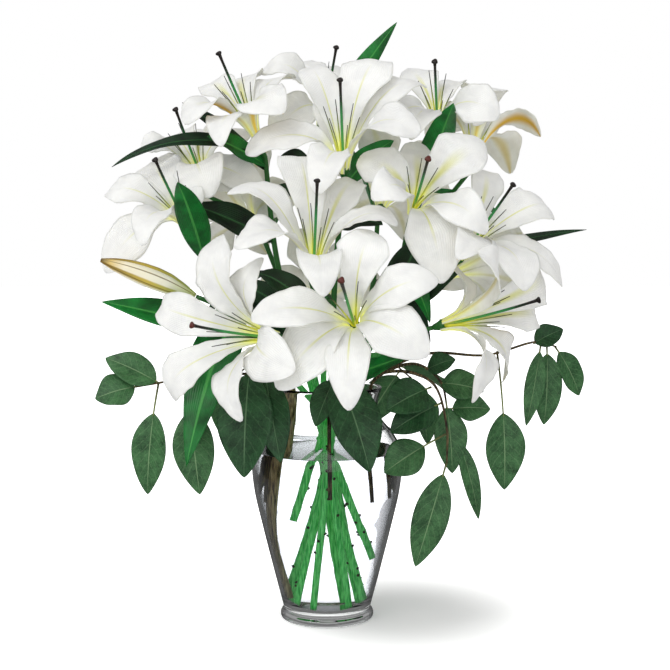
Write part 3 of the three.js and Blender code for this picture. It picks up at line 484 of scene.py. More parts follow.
# green stems: waxy plant skin, satin, with fine lines along it
def stemMaterial():
    material, tree = newMaterial("lilyStemSkin")
    objectPlace = addNode(tree, "TexCoord").outputs["Object"]
    stretch = addNode(tree, "Mapping", {"Vector": objectPlace, "Scale": (1.0, 1.0, 0.08)})
    # streaks about 1.5 mm wide, fine lines along the skin; their palest parts are also a painted highlight
    streak = addNode(tree, "TexNoise", {"Vector": stretch, "Scale": 700.0, "Detail": 2.0})
    tint = addNode(tree, "ValToRGB", {"Fac": streak}, stops=[(0.34, "#16a83c"), (0.64, "#74ec80")])
    # bright green in the vase, darker green above it: a painted shade among the leaves
    level = addNode(tree, "SeparateXYZ", {"Vector": objectPlace}).outputs["Z"]
    above = addNode(tree, "MapRange", {
        "Value": level, "From Min": 240 * metre, "From Max": 330 * metre,
    }, interpolation_type="SMOOTHSTEP")
    tint = addNode(tree, "Mix", {0: above, 6: tint, 7: linear("#2a6a2c")}, data_type="RGBA")
    # painted glow in the vase: emission stands in for light let through the wet tissue
    paintedGlow = addNode(tree, "MapRange", {"Value": above, "To Min": 0.13, "To Max": 0.0})
    bump = addNode(tree, "Bump", {"Height": streak, "Strength": 0.3, "Distance": 0.0005})
    skin = addNode(tree, "BsdfPrincipled", {
        "Emission Color": tint, "Emission Strength": paintedGlow,
        "Base Color": tint, "Roughness": 0.38, "Normal": bump,
        "Subsurface Weight": 0.12, "Subsurface Radius": (0.4, 1.0, 0.3), "Subsurface Scale": 0.002,
    })
    addNode(tree, "OutputMaterial", {"Surface": skin})
    return material


def scarMaterial():
    # the scar of a stripped leaf: dry corky skin, dark and matt
    material, tree = newMaterial("leafScarCork")
    objectPlace = addNode(tree, "TexCoord").outputs["Object"]
    grain = addNode(tree, "TexNoise", {"Vector": objectPlace, "Scale": 900.0})  # about 1 mm
    tint = addNode(tree, "ValToRGB", {"Fac": grain}, stops=[(0.3, "#15170b"), (0.7, "#3c4a1e")])
    skin = addNode(tree, "BsdfPrincipled", {"Base Color": tint, "Roughness": 0.8})
    addNode(tree, "OutputMaterial", {"Surface": skin})
    return material


def lanceMaterial(name, dark, light, rib):
    # a lily leaf: parallel veins about 2 mm apart, a pale sunken midrib and a satin shine
    material, tree = newMaterial(name)
    across, along, fromMiddle, objectPlace = bladePlace(tree)
    # patches about 20 mm across
    cloud = addNode(tree, "TexNoise", {"Vector": objectPlace, "Scale": 45.0, "Detail": 4.0})
    tint = addNode(tree, "ValToRGB", {"Fac": cloud}, stops=[(0.3, dark), (0.7, light)])
    ribLine = addNode(tree, "MapRange", {
        "Value": fromMiddle, "From Min": 0.015, "From Max": 0.06, "To Min": 0.8, "To Max": 0.0,
    }, interpolation_type="SMOOTHSTEP")
    colour = addNode(tree, "Mix", {0: ribLine, 6: tint, 7: linear(rib)}, data_type="RGBA")
    stripes = addNode(tree, "Math", {0: across, 1: 110.0}, operation="MULTIPLY")
    veins = addNode(tree, "Math", {0: stripes}, operation="SINE")
    bump = addNode(tree, "Bump", {"Height": veins, "Strength": 0.35, "Distance": 0.0004})
    skin = addNode(tree, "BsdfPrincipled", {
        "Base Color": colour, "Roughness": 0.36, "Normal": bump,
        "Subsurface Weight": 0.08, "Subsurface Radius": (0.4, 1.0, 0.2), "Subsurface Scale": 0.002,
    })
    addNode(tree, "OutputMaterial", {"Surface": skin})
    return material


def broadMaterial(name, dark, light, rib):
    # a broad leaf: dull and grey green, mottled, with one thin pale midrib and side veins that hardly show
    material, tree = newMaterial(name)
    across, along, fromMiddle, objectPlace = bladePlace(tree)
    # patches about 14 mm across, and specks of about 1.5 mm
    cloud = addNode(tree, "TexNoise", {"Vector": objectPlace, "Scale": 70.0, "Detail": 6.0, "Roughness": 0.7})
    speckle = addNode(tree, "TexNoise", {"Vector": objectPlace, "Scale": 650.0, "Detail": 2.0})
    mottle = addNode(tree, "Math", {0: speckle, 1: 0.5, 2: cloud}, operation="MULTIPLY_ADD")
    tint = addNode(tree, "ValToRGB", {"Fac": mottle}, stops=[(0.5, dark), (0.98, light)])
    # side veins slant from the midrib, about 10 mm apart and never quite straight
    slant = addNode(tree, "Math", {0: fromMiddle, 1: -0.5, 2: along}, operation="MULTIPLY_ADD")
    wander = addNode(tree, "Math", {0: cloud, 1: 0.12, 2: slant}, operation="MULTIPLY_ADD")
    turns = addNode(tree, "Math", {0: wander, 1: 52.0}, operation="MULTIPLY")
    wave = addNode(tree, "Math", {0: turns}, operation="SINE")
    line = addNode(tree, "MapRange", {
        "Value": wave, "From Min": 0.9, "From Max": 1.0, "To Min": 0.0, "To Max": 0.16,
    }, interpolation_type="SMOOTHSTEP")
    middle = addNode(tree, "MapRange", {
        "Value": fromMiddle, "From Min": 0.006, "From Max": 0.024, "To Min": 0.6, "To Max": 0.0,
    }, interpolation_type="SMOOTHSTEP")
    lines = addNode(tree, "Math", {0: line, 1: middle}, operation="MAXIMUM")
    colour = addNode(tree, "Mix", {0: lines, 6: tint, 7: linear(rib)}, data_type="RGBA")
    height = addNode(tree, "Math", {0: speckle, 1: 0.5, 2: lines}, operation="MULTIPLY_ADD")
    bump = addNode(tree, "Bump", {"Height": height, "Strength": 0.7, "Distance": 0.0007}, invert=True)
    skin = addNode(tree, "BsdfPrincipled", {
        "Base Color": colour, "Roughness": 0.48, "Specular IOR Level": 0.4, "Normal": bump,
    })
    addNode(tree, "OutputMaterial", {"Surface": skin})
    return material


def barkMaterial(name, dark, middle, light):
    # bark of a twig: matt grey brown with streaks along it and small dark pores
    material, tree = newMaterial(name)
    objectPlace = addNode(tree, "TexCoord").outputs["Object"]
    stretch = addNode(tree, "Mapping", {"Vector": objectPlace, "Scale": (1.0, 1.0, 0.12)})
    # streaks about 2 mm wide
    streak = addNode(tree, "TexNoise", {"Vector": stretch, "Scale": 520.0, "Detail": 5.0})
    tint = addNode(tree, "ValToRGB", {"Fac": streak}, stops=[(0.34, dark), (0.5, middle), (0.7, light)])
    bump = addNode(tree, "Bump", {"Height": streak, "Strength": 0.8, "Distance": 0.001})
    skin = addNode(tree, "BsdfPrincipled", {"Base Color": tint, "Roughness": 0.75, "Normal": bump})
    addNode(tree, "OutputMaterial", {"Surface": skin})
    return material


def rampMaterial(name, stops, roughness, scale):
    # a thin flower part whose colour runs along it, with a faint grain of 1 to 2.5 mm
    material, tree = newMaterial(name)
    place = addNode(tree, "SeparateXYZ", {"Vector": addNode(tree, "UVMap", uv_map="UVMap")})
    grain = addNode(tree, "TexNoise", {"Vector": addNode(tree, "TexCoord").outputs["Object"], "Scale": scale})
    shifted = addNode(tree, "Math", {0: grain, 1: 0.12, 2: place.outputs["Y"]}, operation="MULTIPLY_ADD")
    tint = addNode(tree, "ValToRGB", {"Fac": shifted}, stops=stops)
    bump = addNode(tree, "Bump", {"Height": grain, "Strength": 0.3, "Distance": 0.0004})
    skin = addNode(tree, "BsdfPrincipled", {"Base Color": tint, "Roughness": roughness, "Normal": bump})
    addNode(tree, "OutputMaterial", {"Surface": skin})
    return material


stemSkin = stemMaterial()
leafScar = scarMaterial()
lanceLeaf = lanceMaterial("lilyLeafBlade", "#064a1a", "#128a34", "#4fae50")
# lilyLeafShaded is a darker copy of the leaf: painted shade for leaves deep among the others
shadedLanceLeaf = lanceMaterial("lilyLeafShaded", "#04140a", "#164020", "#34683a")
broadLeaf = broadMaterial("broadLeafFace", "#173f1f", "#4c7f4c", "#8fb080")
broadShaded = broadMaterial("broadLeafShaded", "#0b2c14", "#316238", "#6c9068")
twigBark = barkMaterial("twigBark", "#1d180e", "#4a3d25", "#85724a")
woodyBark = barkMaterial("woodyTwigBark", "#4c3e28", "#a08b60", "#dac798")
leafStalk = rampMaterial("broadLeafStalk", [(0.1, "#4a4a2a"), (0.9, "#7d8a4c")], 0.55, 400.0)
styleSkin = rampMaterial("pistilStyle", [
    (0.08, "#d6e07a"), (0.3, "#5fb45c"), (0.72, "#2c8a48"), (0.86, "#1f3a24"), (0.98, "#1c140f")], 0.4, 600.0)
stigmaRed = rampMaterial("stigmaRipeRed", [(0.1, "#3a1d14"), (0.9, "#5e241c")], 0.5, 900.0)
stigmaDark = rampMaterial("stigmaDark", [(0.1, "#100f0b"), (0.9, "#1f1412")], 0.45, 900.0)
filamentSkin = rampMaterial("stamenFilament", [
    (0.1, "#f6f04e"), (0.46, "#eaea60"), (0.68, "#8f9c52"), (0.92, "#1c1812")], 0.45, 600.0)
print("plant materials made")

# the pistil with its knob, the stigma, and the six filaments round it
heart = {
    "core": 3, "radius": 1.45, "share": 0.88, "sag": 3, "rows": 22,
    "knob": 3.3, "knobLevels": (-1.4, -0.2, 1.0, 2.2, 3.0, 3.3), "knobShares": (0.45, 0.72, 1, 0.98, 0.66, 0.2),
    "lobe": 0.12, "redKnobs": "lki",
    "filament": 0.95, "reach": 72, "spread": 17, "bow": (1.5, 3.5), "drift": 1.5,
}
# the green cup that the petals sit on, from its foot up
receptacle = {"height": 11, "levels": (-11, -6, -2, 1.5), "radii": (3.2, 4.6, 6.2, 5)}


def growPetals(name, bloom):
    axis, base = bloomFrame(bloom)
    throat = Vector(bloom["throat"])
    curl = bloom.get("curl", petal["curl"])
    tree = corners("petals_" + name)
    chance = random.Random("petals " + name)
    pieces = []
    for order, tip in enumerate(bloomTips(bloom)):
        bend = bendOf("bloom " + name, tree, lambda b: petalCurve(axis, base, throat, tip, curl, b))
        curve = petalCurve(axis, base, throat, tip, curl, bend)
        inner = order % 2 == (0 if bloom.get("wide") == "even" else 1)
        blade = growPetal(axis, base, curve, inner, bend[2], chance)
        setGold(blade, goldenRibs[name][order] if name in goldenRibs else chance.uniform(0.05, 0.35))
        pieces.append(blade)
    blades = joined("lilyPetals" + name.upper(), pieces, [petalBack, petalFace, stemSkin])
    thicken(blades, petal["thickness"], 1)
    cup = [base + axis * level for level in receptacle["levels"]]
    foot = growTube(cup, lambda s: stepOf(receptacle["radii"], s), 16, 2)
    setGold(foot, 0)
    whole = joined(blades.name, [blades, foot], [petalBack, petalFace, stemSkin])
    settle(whole, "petals_" + name)


def growHeart(name, bloom):
    axis, base = bloomFrame(bloom)
    tree = corners("stamens_" + name)
    chance = random.Random("heart " + name)
    first = axis.cross(Vector((0.2, 1, 0.1))).normalized()
    second = axis.cross(first)
    foot = base + 0.3 * axis
    end = Vector(bloom["throat"]) + heart["share"] * Vector(bloom["pistil"])

    def styleRadius(s):
        slimmer = (heart["core"] - heart["radius"]) * smooth(0, 0.08, s)
        return heart["core"] - slimmer + 0.5 * smooth(0.93, 1, s)

    def knobRadius(s):
        return heart["knob"] * stepOf(heart["knobShares"], s)

    def knobLobes(s, angle):
        return 1 + heart["lobe"] * math.cos(3 * angle) * smooth(0, 0.4, s)

    path = bowed(foot, (foot + end) / 2 - Vector((0, 0, heart["sag"])), end, heart["rows"])
    knobPath = [end + axis * level for level in heart["knobLevels"]]
    pieces = [growTube(path, styleRadius, 12, 0), growTube(knobPath, knobRadius, 24, 1, knobLobes)]
    for k in range(6):
        angle = math.radians(60 * k)
        out = first * math.cos(angle) + second * math.sin(angle)
        root = foot + 0.8 * axis + 1.9 * out
        reach = heart["reach"] * (0.92 + 0.08 * math.cos(5 * k))
        tip = root + reach * axis + heart["spread"] * out
        if tree.find(tip * metre)[2] > 1.6 * metre:
            continue  # the solid has no filament here, as a petal is in its way
        middle = (root + tip) / 2 - chance.uniform(*heart["bow"]) * out
        middle += chance.uniform(-heart["drift"], heart["drift"]) * axis.cross(out)
        line = bowed(root, middle, tip, 12)
        pieces.append(growTube(line, lambda s: heart["filament"] * (1.25 - 0.85 * s), 7, 2))
    stigma = stigmaRed if name in heart["redKnobs"] else stigmaDark
    whole = joined("lilyHeart" + name.upper(), pieces, [styleSkin, stigma, filamentSkin])
    settle(whole, "stamens_" + name)


for name, bloom in blooms.items():
    growPetals(name, bloom)
print("petals grown:", len(blooms), "blooms")
for name, bloom in blooms.items():
    growHeart(name, bloom)
print("pistils and filaments grown")

# stems: cut end, where it passes the neck, points above it, its bloom and its branches
stems = {
    "stem_1": {"cut": (31, 4, 17), "neck": (-14, 4), "points": [(-56, 16, 400)], "bloom": "a",
               "branch": {"g": [(-82, 30, 448)]}},
    "stem_2": {"cut": (-29, -4, 117), "neck": (4, -4), "points": [(10, -8, 400)], "bloom": "c"},
    "stem_3": {"cut": (24, 20, 17), "neck": (-4, 20), "points": [(-4, 50, 420)], "bloom": "b"},
    "stem_4": {"cut": (-33, 11, 17), "neck": (16, 12), "points": [(84, 40, 400)], "bloom": "d",
               "branch": {"e": [(116, 54, 446)]}},
    "stem_5": {"cut": (42, -12, 72), "neck": (-16, -12), "points": [(-104, -10, 345)], "bloom": "f",
               "branch": {"bud_1": [(-116, -46, 352)]}},
    "stem_6": {"cut": (22, -28, 17), "neck": (-8, -28), "points": [(-20, -66, 320)], "bloom": "h",
               "branch": {"k": [(-34, -88, 306)]}},
    "stem_7": {"cut": (-30, -19, 17), "neck": (14, -20), "points": [(68, -32, 350)], "bloom": "i",
               "branch": {"j": [(100, -34, 370)]}},
    "stem_8": {"cut": (-14, -33, 17), "neck": (8, -36), "points": [(30, -74, 305)], "bloom": "l",
               "branch": {"m": [(78, -76, 308)]}},
    "stem_9": {"cut": (12, 34, 17), "neck": (-10, 36), "points": [(-44, 66, 350)], "bloom": "p",
               "branch": {"s": [(-18, 98, 326)]}},
    "stem_10": {"cut": (-24, 26, 17), "neck": (12, 28), "points": [(52, 74, 360)], "bloom": "q",
                "branch": {"r": [(100, 82, 360)], "bud_2": [(82, 108, 356)]}},
}
stalk = {
    "neckLevel": 246, "radius": 3.4, "pedicel": 2.5,
    "scars": 12, "scarred": (0.035, 0.46), "scarSwell": 0.13,
}
lance = {"fold": 0.25, "wave": 1.6, "thickness": 0.8}
# lance leaves: how far up its stem each sits, its tip, its width and how high it arches; those marked dark take
# the painted-shade copy of the leaf
leaves = [
    {"stem": "stem_3", "at": 0.92, "tip": (66, 40, 680), "width": 24, "arch": 6},
    {"stem": "stem_4", "at": 0.72, "tip": (134, -60, 568), "width": 34, "arch": 4},
    {"stem": "stem_1", "at": 0.78, "tip": (-158, -20, 574), "width": 18, "arch": 6, "dark": True},
    {"stem": "stem_1", "at": 0.86, "tip": (-232, -40, 502), "width": 17, "arch": 30, "dark": True},
    {"stem": "stem_1", "at": 0.8, "tip": (-136, -20, 532), "width": 28, "arch": 4},
    {"stem": "stem_1", "at": 0.5, "tip": (-152, -14, 464), "width": 36, "arch": 4, "dark": True},
    {"stem": "stem_5", "at": 0.72, "tip": (-150, -126, 480), "width": 31, "arch": 8},
    {"stem": "stem_5", "at": 0.3, "tip": (-241, -60, 358), "width": 38, "arch": 2},
    {"stem": "stem_5", "at": 0.4, "tip": (-142, -96, 177), "width": 50, "arch": 34},
    {"stem": "stem_6", "at": 0.7, "tip": (-72, -92, 388), "width": 28, "arch": 10, "dark": True},
    {"stem": "stem_6", "at": 0.5, "tip": (-104, -60, 380), "width": 30, "arch": 10, "dark": True},
    {"stem": "stem_6", "at": 0.35, "tip": (-98, -70, 362), "width": 36, "arch": 2, "dark": True},
    {"stem": "stem_7", "at": 0.4, "tip": (146, -70, 384), "width": 38, "arch": 2, "dark": True},
    {"stem": "stem_7", "at": 0.45, "tip": (102, -44, 430), "width": 36, "arch": 0, "dark": True},
    {"stem": "stem_7", "at": 0.6, "tip": (286, -20, 436), "width": 15, "arch": 6, "dark": True},
    {"stem": "stem_7", "at": 0.62, "tip": (108, -88, 336), "width": 24, "arch": 14},
    {"stem": "stem_8", "at": 0.2, "tip": (86, -100, 304), "width": 28, "arch": 0},
    {"stem": "stem_2", "at": 0.86, "tip": (74, -10, 534), "width": 26, "arch": 8},
    {"stem": "stem_2", "at": 0.6, "tip": (60, -50, 440), "width": 28, "arch": 8, "dark": True},
    {"stem": "stem_2", "at": 0.7, "tip": (-60, -30, 480), "width": 28, "arch": 8, "dark": True},
    {"stem": "stem_9", "at": 0.6, "tip": (-150, 110, 330), "width": 36, "arch": 20, "dark": True},
    {"stem": "stem_9", "at": 0.8, "tip": (-60, 170, 470), "width": 32, "arch": 14},
    {"stem": "stem_10", "at": 0.5, "tip": (130, 150, 300), "width": 36, "arch": 20, "dark": True},
    {"stem": "stem_10", "at": 0.8, "tip": (60, 180, 560), "width": 30, "arch": 14},
    {"stem": "stem_4", "at": 0.66, "tip": (220, 60, 440), "width": 30, "arch": 14},
    {"stem": "stem_3", "at": 0.7, "tip": (-60, 120, 520), "width": 30, "arch": 14, "dark": True},
]
buds = {
    "bud_1": {"foot": (-139, -72, 364), "tip": (-236, -84, 402), "girth": 12},
    "bud_2": {"foot": (104, 140, 372), "tip": (132, 210, 410), "girth": 11},
}
budForm = {"swell": (0.26, 0.62, 0.92, 1, 0.95, 0.8, 0.55, 0.16), "arch": 5, "rows": 30, "sides": 42}


def pedicelEnd(name):
    # where a pedicel ends, and the point before that, so that it runs straight into its bloom or bud
    if name in buds:
        foot, tip = Vector(buds[name]["foot"]), Vector(buds[name]["tip"])
        along = (tip - foot).normalized()
        return foot - 0.6 * along, foot - 12 * along
    axis, base = bloomFrame(blooms[name])
    end = base - (receptacle["height"] + 0.3) * axis
    return end, end - 14 * axis


def pointAlong(centres, at):
    place = min(at, 0.985) * (len(centres) - 1)
    first = int(place)
    return centres[first].lerp(centres[first + 1], place - first)


def nearestOn(centres, point):
    # a branch leaves its stem nearest to a place 30 mm below its own first point
    below = point + Vector((0, 0, -30))
    return min((pointAlong(centres, 0.05 + 0.01 * i) for i in range(90)), key=lambda p: (p - below).length)


def leafFace(root, tip):
    # leaves look outwards and up, and those at the front look to the front
    out = Vector((root.x + tip.x, root.y + tip.y, 0)).normalized()
    face = Vector((0.6 * out.x, 0.6 * out.y, 0.8))
    if root.y < 60 and tip.y < 60:
        face = Vector((math.copysign(0.1, tip.x), -0.8, 0.6))
    along = (tip - root).normalized()
    return (face - face.dot(along) * along).normalized()


def bentTip(root, tip, face, bend):
    # the way from a leaf's foot to its bent tip, and its sideways direction
    swing, lift, length = bend
    toTip = tip - root
    side = toTip.cross(face).normalized()
    toTip = turned(turned(toTip, face, swing), side, lift) * length
    return toTip, side


def lanceCurve(root, tip, arch, face, bend):
    toTip, side = bentTip(root, tip, face, bend)
    up = Vector((0, 0, arch))
    return [root, root + 0.33 * toTip + up, root + 0.7 * toTip + up, root + toTip, -side]


def broadCurve(root, tip, face, bend):
    toTip, side = bentTip(root, tip, face, bend)
    bulge = 0.1 * toTip.length * face
    return [root, root + 0.33 * toTip + bulge, root + 0.7 * toTip + bulge, root + toTip, -side]


def growLeaf(curve, widthAt, fold, wave, chance, material, columns=10, rows=28, start=0):
    # a blade folded along a sunken midrib, with wavy margins, that begins at the share start of its curve
    phases = [chance.uniform(0, fullTurn) for _ in (0, 1)]
    sideways = curve[4]

    def placeRow(t):
        s = start + (1 - start) * min(max(t, 0.0), 0.997)
        centre, along = bezier(curve, s), bezierAlong(curve, s)
        side = (sideways - sideways.dot(along) * along).normalized()
        face = along.cross(side)
        half = widthAt(t) / 2

        def place(u):
            lift = fold * half * abs(u) ** 1.3
            lift += wave * u * u * math.sin(11 * s + phases[0 if u < 0 else 1]) * math.sin(math.pi * s)
            lift -= 0.5 * math.exp(-(u / 0.12) ** 2) * (1 - s)
            return centre + side * half * u + face * lift
        return place

    return growGrid(columns, rows, placeRow, material)


def growStem(name, stem):
    chance = random.Random(name)
    neck = Vector((*stem["neck"], stalk["neckLevel"]))
    foot = Vector(stem["cut"])
    end, before = pedicelEnd(stem["bloom"])
    above = [neck, *stem["points"], before]
    rough = [catmull(above, i / 5) for i in range(6)] + [end]  # the solid's stem has these corners
    centres = [foot.lerp(neck, i / 30) for i in range(30)] + [catmull(above, i / 40) for i in range(41)] + [end]
    scars = [(chance.uniform(*stalk["scarred"]), chance.uniform(0, fullTurn)) for _ in range(stalk["scars"])]

    def taper(s):
        return stalk["radius"] * (1.02 - 0.2 * smooth(0.45, 1, s))

    def swell(s, angle):
        bulge = 1.0
        for place, turn in scars:
            near = math.exp(-((s - place) / 0.006) ** 2)
            bulge += stalk["scarSwell"] * near * (1 + 0.8 * math.cos(angle - turn)) / 1.8
        return bulge

    pieces = [growTube(centres, taper, 14, 0, swell)]
    for place, turn in scars:  # a small scar where each stripped leaf sat
        spot = pointAlong(centres, place)
        along = (pointAlong(centres, place + 0.02) - spot).normalized()
        out = stalk["radius"] * along.cross(Vector((math.cos(turn), math.sin(turn), 0.3))).normalized()
        tuft = [spot + out * 0.85, spot + out * 1.15 + along * 0.5, spot + out * 1.5 + along * 1.3]
        pieces.append(growTube(tuft, lambda s: 1.7 - 0.7 * s, 7, 1))
    for bloom, points in stem.get("branch", {}).items():
        branchEnd, branchBefore = pedicelEnd(bloom)
        start = nearestOn(rough, Vector(points[0]))
        line = [start, *points, branchBefore]
        path = [catmull(line, i / 24) for i in range(25)] + [branchEnd]
        pieces.append(growTube(path, lambda s: stalk["pedicel"] * (1.15 - 0.15 * s), 12, 0))
    tree = corners(name)
    blades = []
    for leaf in leaves:
        if leaf["stem"] != name:
            continue
        root, tip = pointAlong(rough, leaf["at"]), Vector(leaf["tip"])
        face = leafFace(root, tip)
        bend = bendOf(name, tree, lambda b: lanceCurve(root, tip, leaf["arch"], face, b))
        curve = lanceCurve(root, tip, leaf["arch"], face, bend)
        width = leaf["width"]

        def outline(s):
            return width * (0.12 * (1 - s) + math.sin(math.pi * s ** 0.8) ** 0.9)

        # a leaf marked dark gets the painted-shade copy of the leaf material
        shade = 3 if leaf.get("dark") else 2
        blades.append(growLeaf(curve, outline, lance["fold"], lance["wave"], chance, shade))
    if blades:
        blade = joined(name + "Blades", blades, [stemSkin, leafScar, lanceLeaf, shadedLanceLeaf])
        thicken(blade, lance["thickness"])
        pieces.append(blade)
    whole = joined("lilyStem" + name[5:], pieces, [stemSkin, leafScar, lanceLeaf, shadedLanceLeaf])
    settle(whole, name)


for name, stem in stems.items():
    growStem(name, stem)
print("stems and lily leaves grown")


# half-open buds: three outer petals still closed over the rest
def budMaterial():
    # closed petals: cream with green ribs that turn brownish yellow to the tip, where the petals meet
    material, tree = newMaterial("lilyBudSkin")
    place = addNode(tree, "SeparateXYZ", {"Vector": addNode(tree, "UVMap", uv_map="UVMap")})
    objectPlace = addNode(tree, "TexCoord").outputs["Object"]
    cloud = addNode(tree, "TexNoise", {"Vector": objectPlace, "Scale": 120.0, "Detail": 4.0})  # about 8 mm
    ground = addNode(tree, "ValToRGB", {"Fac": place.outputs["Y"]}, stops=[
        (0.05, "#c3cf86"), (0.3, "#efeeda"), (0.75, "#f1e8cb"), (0.9, "#d9bd72"), (1.0, "#4e3c20")])
    # three broad ribs and the seams between them run from foot to tip
    angle = addNode(tree, "Math", {0: place.outputs["X"], 1: 6 * math.pi, 2: 1.0}, operation="MULTIPLY_ADD")
    turn = addNode(tree, "Math", {0: angle}, operation="COSINE")
    rib = addNode(tree, "MapRange", {
        "Value": turn, "From Min": 0.1, "From Max": 0.6, "To Min": 0.0, "To Max": 0.95,
    }, interpolation_type="SMOOTHSTEP")
    seam = addNode(tree, "MapRange", {
        "Value": turn, "From Min": -0.97, "From Max": -1.0, "To Min": 0.0, "To Max": 0.8,
    }, interpolation_type="SMOOTHSTEP")
    ribColour = addNode(tree, "ValToRGB", {"Fac": place.outputs["Y"]}, stops=[
        (0.1, "#a3b452"), (0.5, "#cbb23c"), (0.9, "#8a6c22")])
    ribbed = addNode(tree, "Mix", {0: rib, 6: ground, 7: ribColour}, data_type="RGBA")
    # a dark line down the middle of each rib
    core = addNode(tree, "MapRange", {
        "Value": turn, "From Min": 0.965, "From Max": 0.995, "To Min": 0.0, "To Max": 0.75,
    }, interpolation_type="SMOOTHSTEP")
    lines = addNode(tree, "Math", {0: seam, 1: core}, operation="MAXIMUM")
    seamed = addNode(tree, "Mix", {0: lines, 6: ribbed, 7: linear("#75602c")}, data_type="RGBA")
    bump = addNode(tree, "Bump", {"Height": cloud, "Strength": 0.4, "Distance": 0.0006})
    skin = addNode(tree, "BsdfPrincipled", {
        "Base Color": seamed, "Roughness": 0.5, "Specular IOR Level": 0.4, "Normal": bump,
        "Subsurface Weight": 0.12, "Subsurface Radius": (1.0, 0.9, 0.6), "Subsurface Scale": 0.002,
    })
    addNode(tree, "OutputMaterial", {"Surface": skin})
    return material


budSkin = budMaterial()


def growBud(name, bud):
    foot, tip = Vector(bud["foot"]), Vector(bud["tip"])
    path = bowed(foot, (foot + tip) / 2 + Vector((0, 0, budForm["arch"])), tip, budForm["rows"])
    swell = budForm["swell"]

    def radiusAt(s):
        place = min(s, 0.999) * (len(swell) - 1)
        i = int(place)
        return bud["girth"] * (swell[i] + (swell[i + 1] - swell[i]) * (place - i))

    def lobes(s, angle):
        # three rounded sides with a fine crease between them
        turn = math.cos(1.5 * angle)
        return 0.93 + 0.1 * abs(turn) ** 0.6 - 0.07 * math.exp(-(turn / 0.16) ** 2)

    body = growTube(path, radiusAt, budForm["sides"], 0, lobes)
    whole = joined("lilyBud" + name[4:], [body], [budSkin])
    settle(whole, name)


for name, bud in buds.items():
    growBud(name, bud)
print("buds grown")

# foliage sprays: the twig's points from its cut end, then each leaf's foot on it, tip, width and share of stalk
sprays = {
    "foliage_1": {
        "twig": [(-60, -20, 136), (-46.1, -15, 246), (-104, -50, 280), (-164, -66, 274), (-204, -74, 268)],
        "leaves": [
            (0.84, (-236, -66, 298), 36, 0.05),
            (1, (-244, -82, 256), 42, 0.05),
            (0.84, (-190, -80, 154), 38, 0.27),
            (0.68, (-134, -86, 155), 44, 0.28),
        ]},
    "foliage_2": {
        "twig": [(-36, -6, 26), (-39, -21, 246), (-50, -56, 284), (-84, -82, 298)],
        "bow": (-51, -10, 100), "radius": 6.5, "bark": woodyBark,
        "shaded": (0.97, 0.85), "leaves": [
            (0.97, (-86, -104, 176), 58, 0.12),
            (0.85, (-48, -104, 192), 38, 0.12),
        ]},
    "foliage_3": {
        "twig": [(3, -62, 146), (2, -48.4, 246), (12, -88, 284)],
        "shaded": (0.96, 0.9), "leaves": [
            (0.96, (44, -116, 184), 54, 0.05),
            (0.9, (-12, -106, 230), 30, 0.12),
        ]},
    "foliage_4": {
        "twig": [(45, -44, 140), (34.3, -34.3, 246),
                 (78, -66, 284), (112, -82, 272), (126, -84, 228), (127, -80, 186)],
        "shaded": (0.6, 0.7), "leaves": [
            (0.6, (62, -100, 246), 44, 0.12),
            (0.7, (66, -96, 222), 38, 0.12),
            (0.84, (60, -92, 179), 42, 0.36),
            (1, (94, -80, 76), 38, 0.12),
        ]},
    "foliage_5": {
        "twig": [(60, -17, 140), (46.8, -12.6, 246), (96, -44, 290), (122, -56, 272), (130, -58, 240)],
        "shaded": (0.6,), "leaves": [
            (0.6, (138, -60, 296), 26, 0.05),
            (0.76, (168, -64, 262), 38, 0.05),
            (1, (176, -58, 242), 34, 0.12),
            (0.9, (134, -68, 174), 36, 0.12),
            (0.98, (164, -58, 122), 20, 0.3),
        ]},
    "foliage_6": {
        "twig": [(62, 6, 140), (48.3, 4.2, 246),
                 (110, -10, 298), (176, -26, 298), (232, -18, 312), (256, -8, 306)],
        "shaded": (0.8,), "leaves": [
            (0.64, (194, -42, 151), 44, 0.44),
            (0.84, (219, -32, 220), 22, 0.12),
            (0.9, (243, -8, 218), 34, 0.12),
            (1, (284, 0, 250), 32, 0.12),
            (0.8, (262, -16, 326), 28, 0.05),
        ]},
    "foliage_7": {
        "twig": [(-46, 42, 140), (-37, 31.2, 246), (-80, 84, 286), (-110, 124, 262)],
        "leaves": [
            (1, (-130, 150, 180), 44, 0.12),
            (0.86, (-60, 150, 196), 46, 0.12),
            (0.75, (-164, 90, 226), 42, 0.12),
            (0.66, (-40, 134, 290), 36, 0.12),
        ]},
    "foliage_8": {
        "twig": [(46, 42, 140), (37, 31.2, 246), (72, 90, 282), (104, 124, 258)],
        "leaves": [
            (1, (126, 146, 172), 44, 0.12),
            (0.86, (46, 156, 190), 46, 0.12),
            (0.75, (170, 92, 226), 42, 0.12),
        ]},
}
# each twig leans on the vase's lip
twigForm = {"radius": 2.2, "taper": 0.55, "lipShare": 1.1, "lipLevel": 268, "knots": 7, "knotSwell": 0.22}
broad = {"fold": 0.16, "wave": 0.05, "thickness": 0.8, "stalk": 1.25}


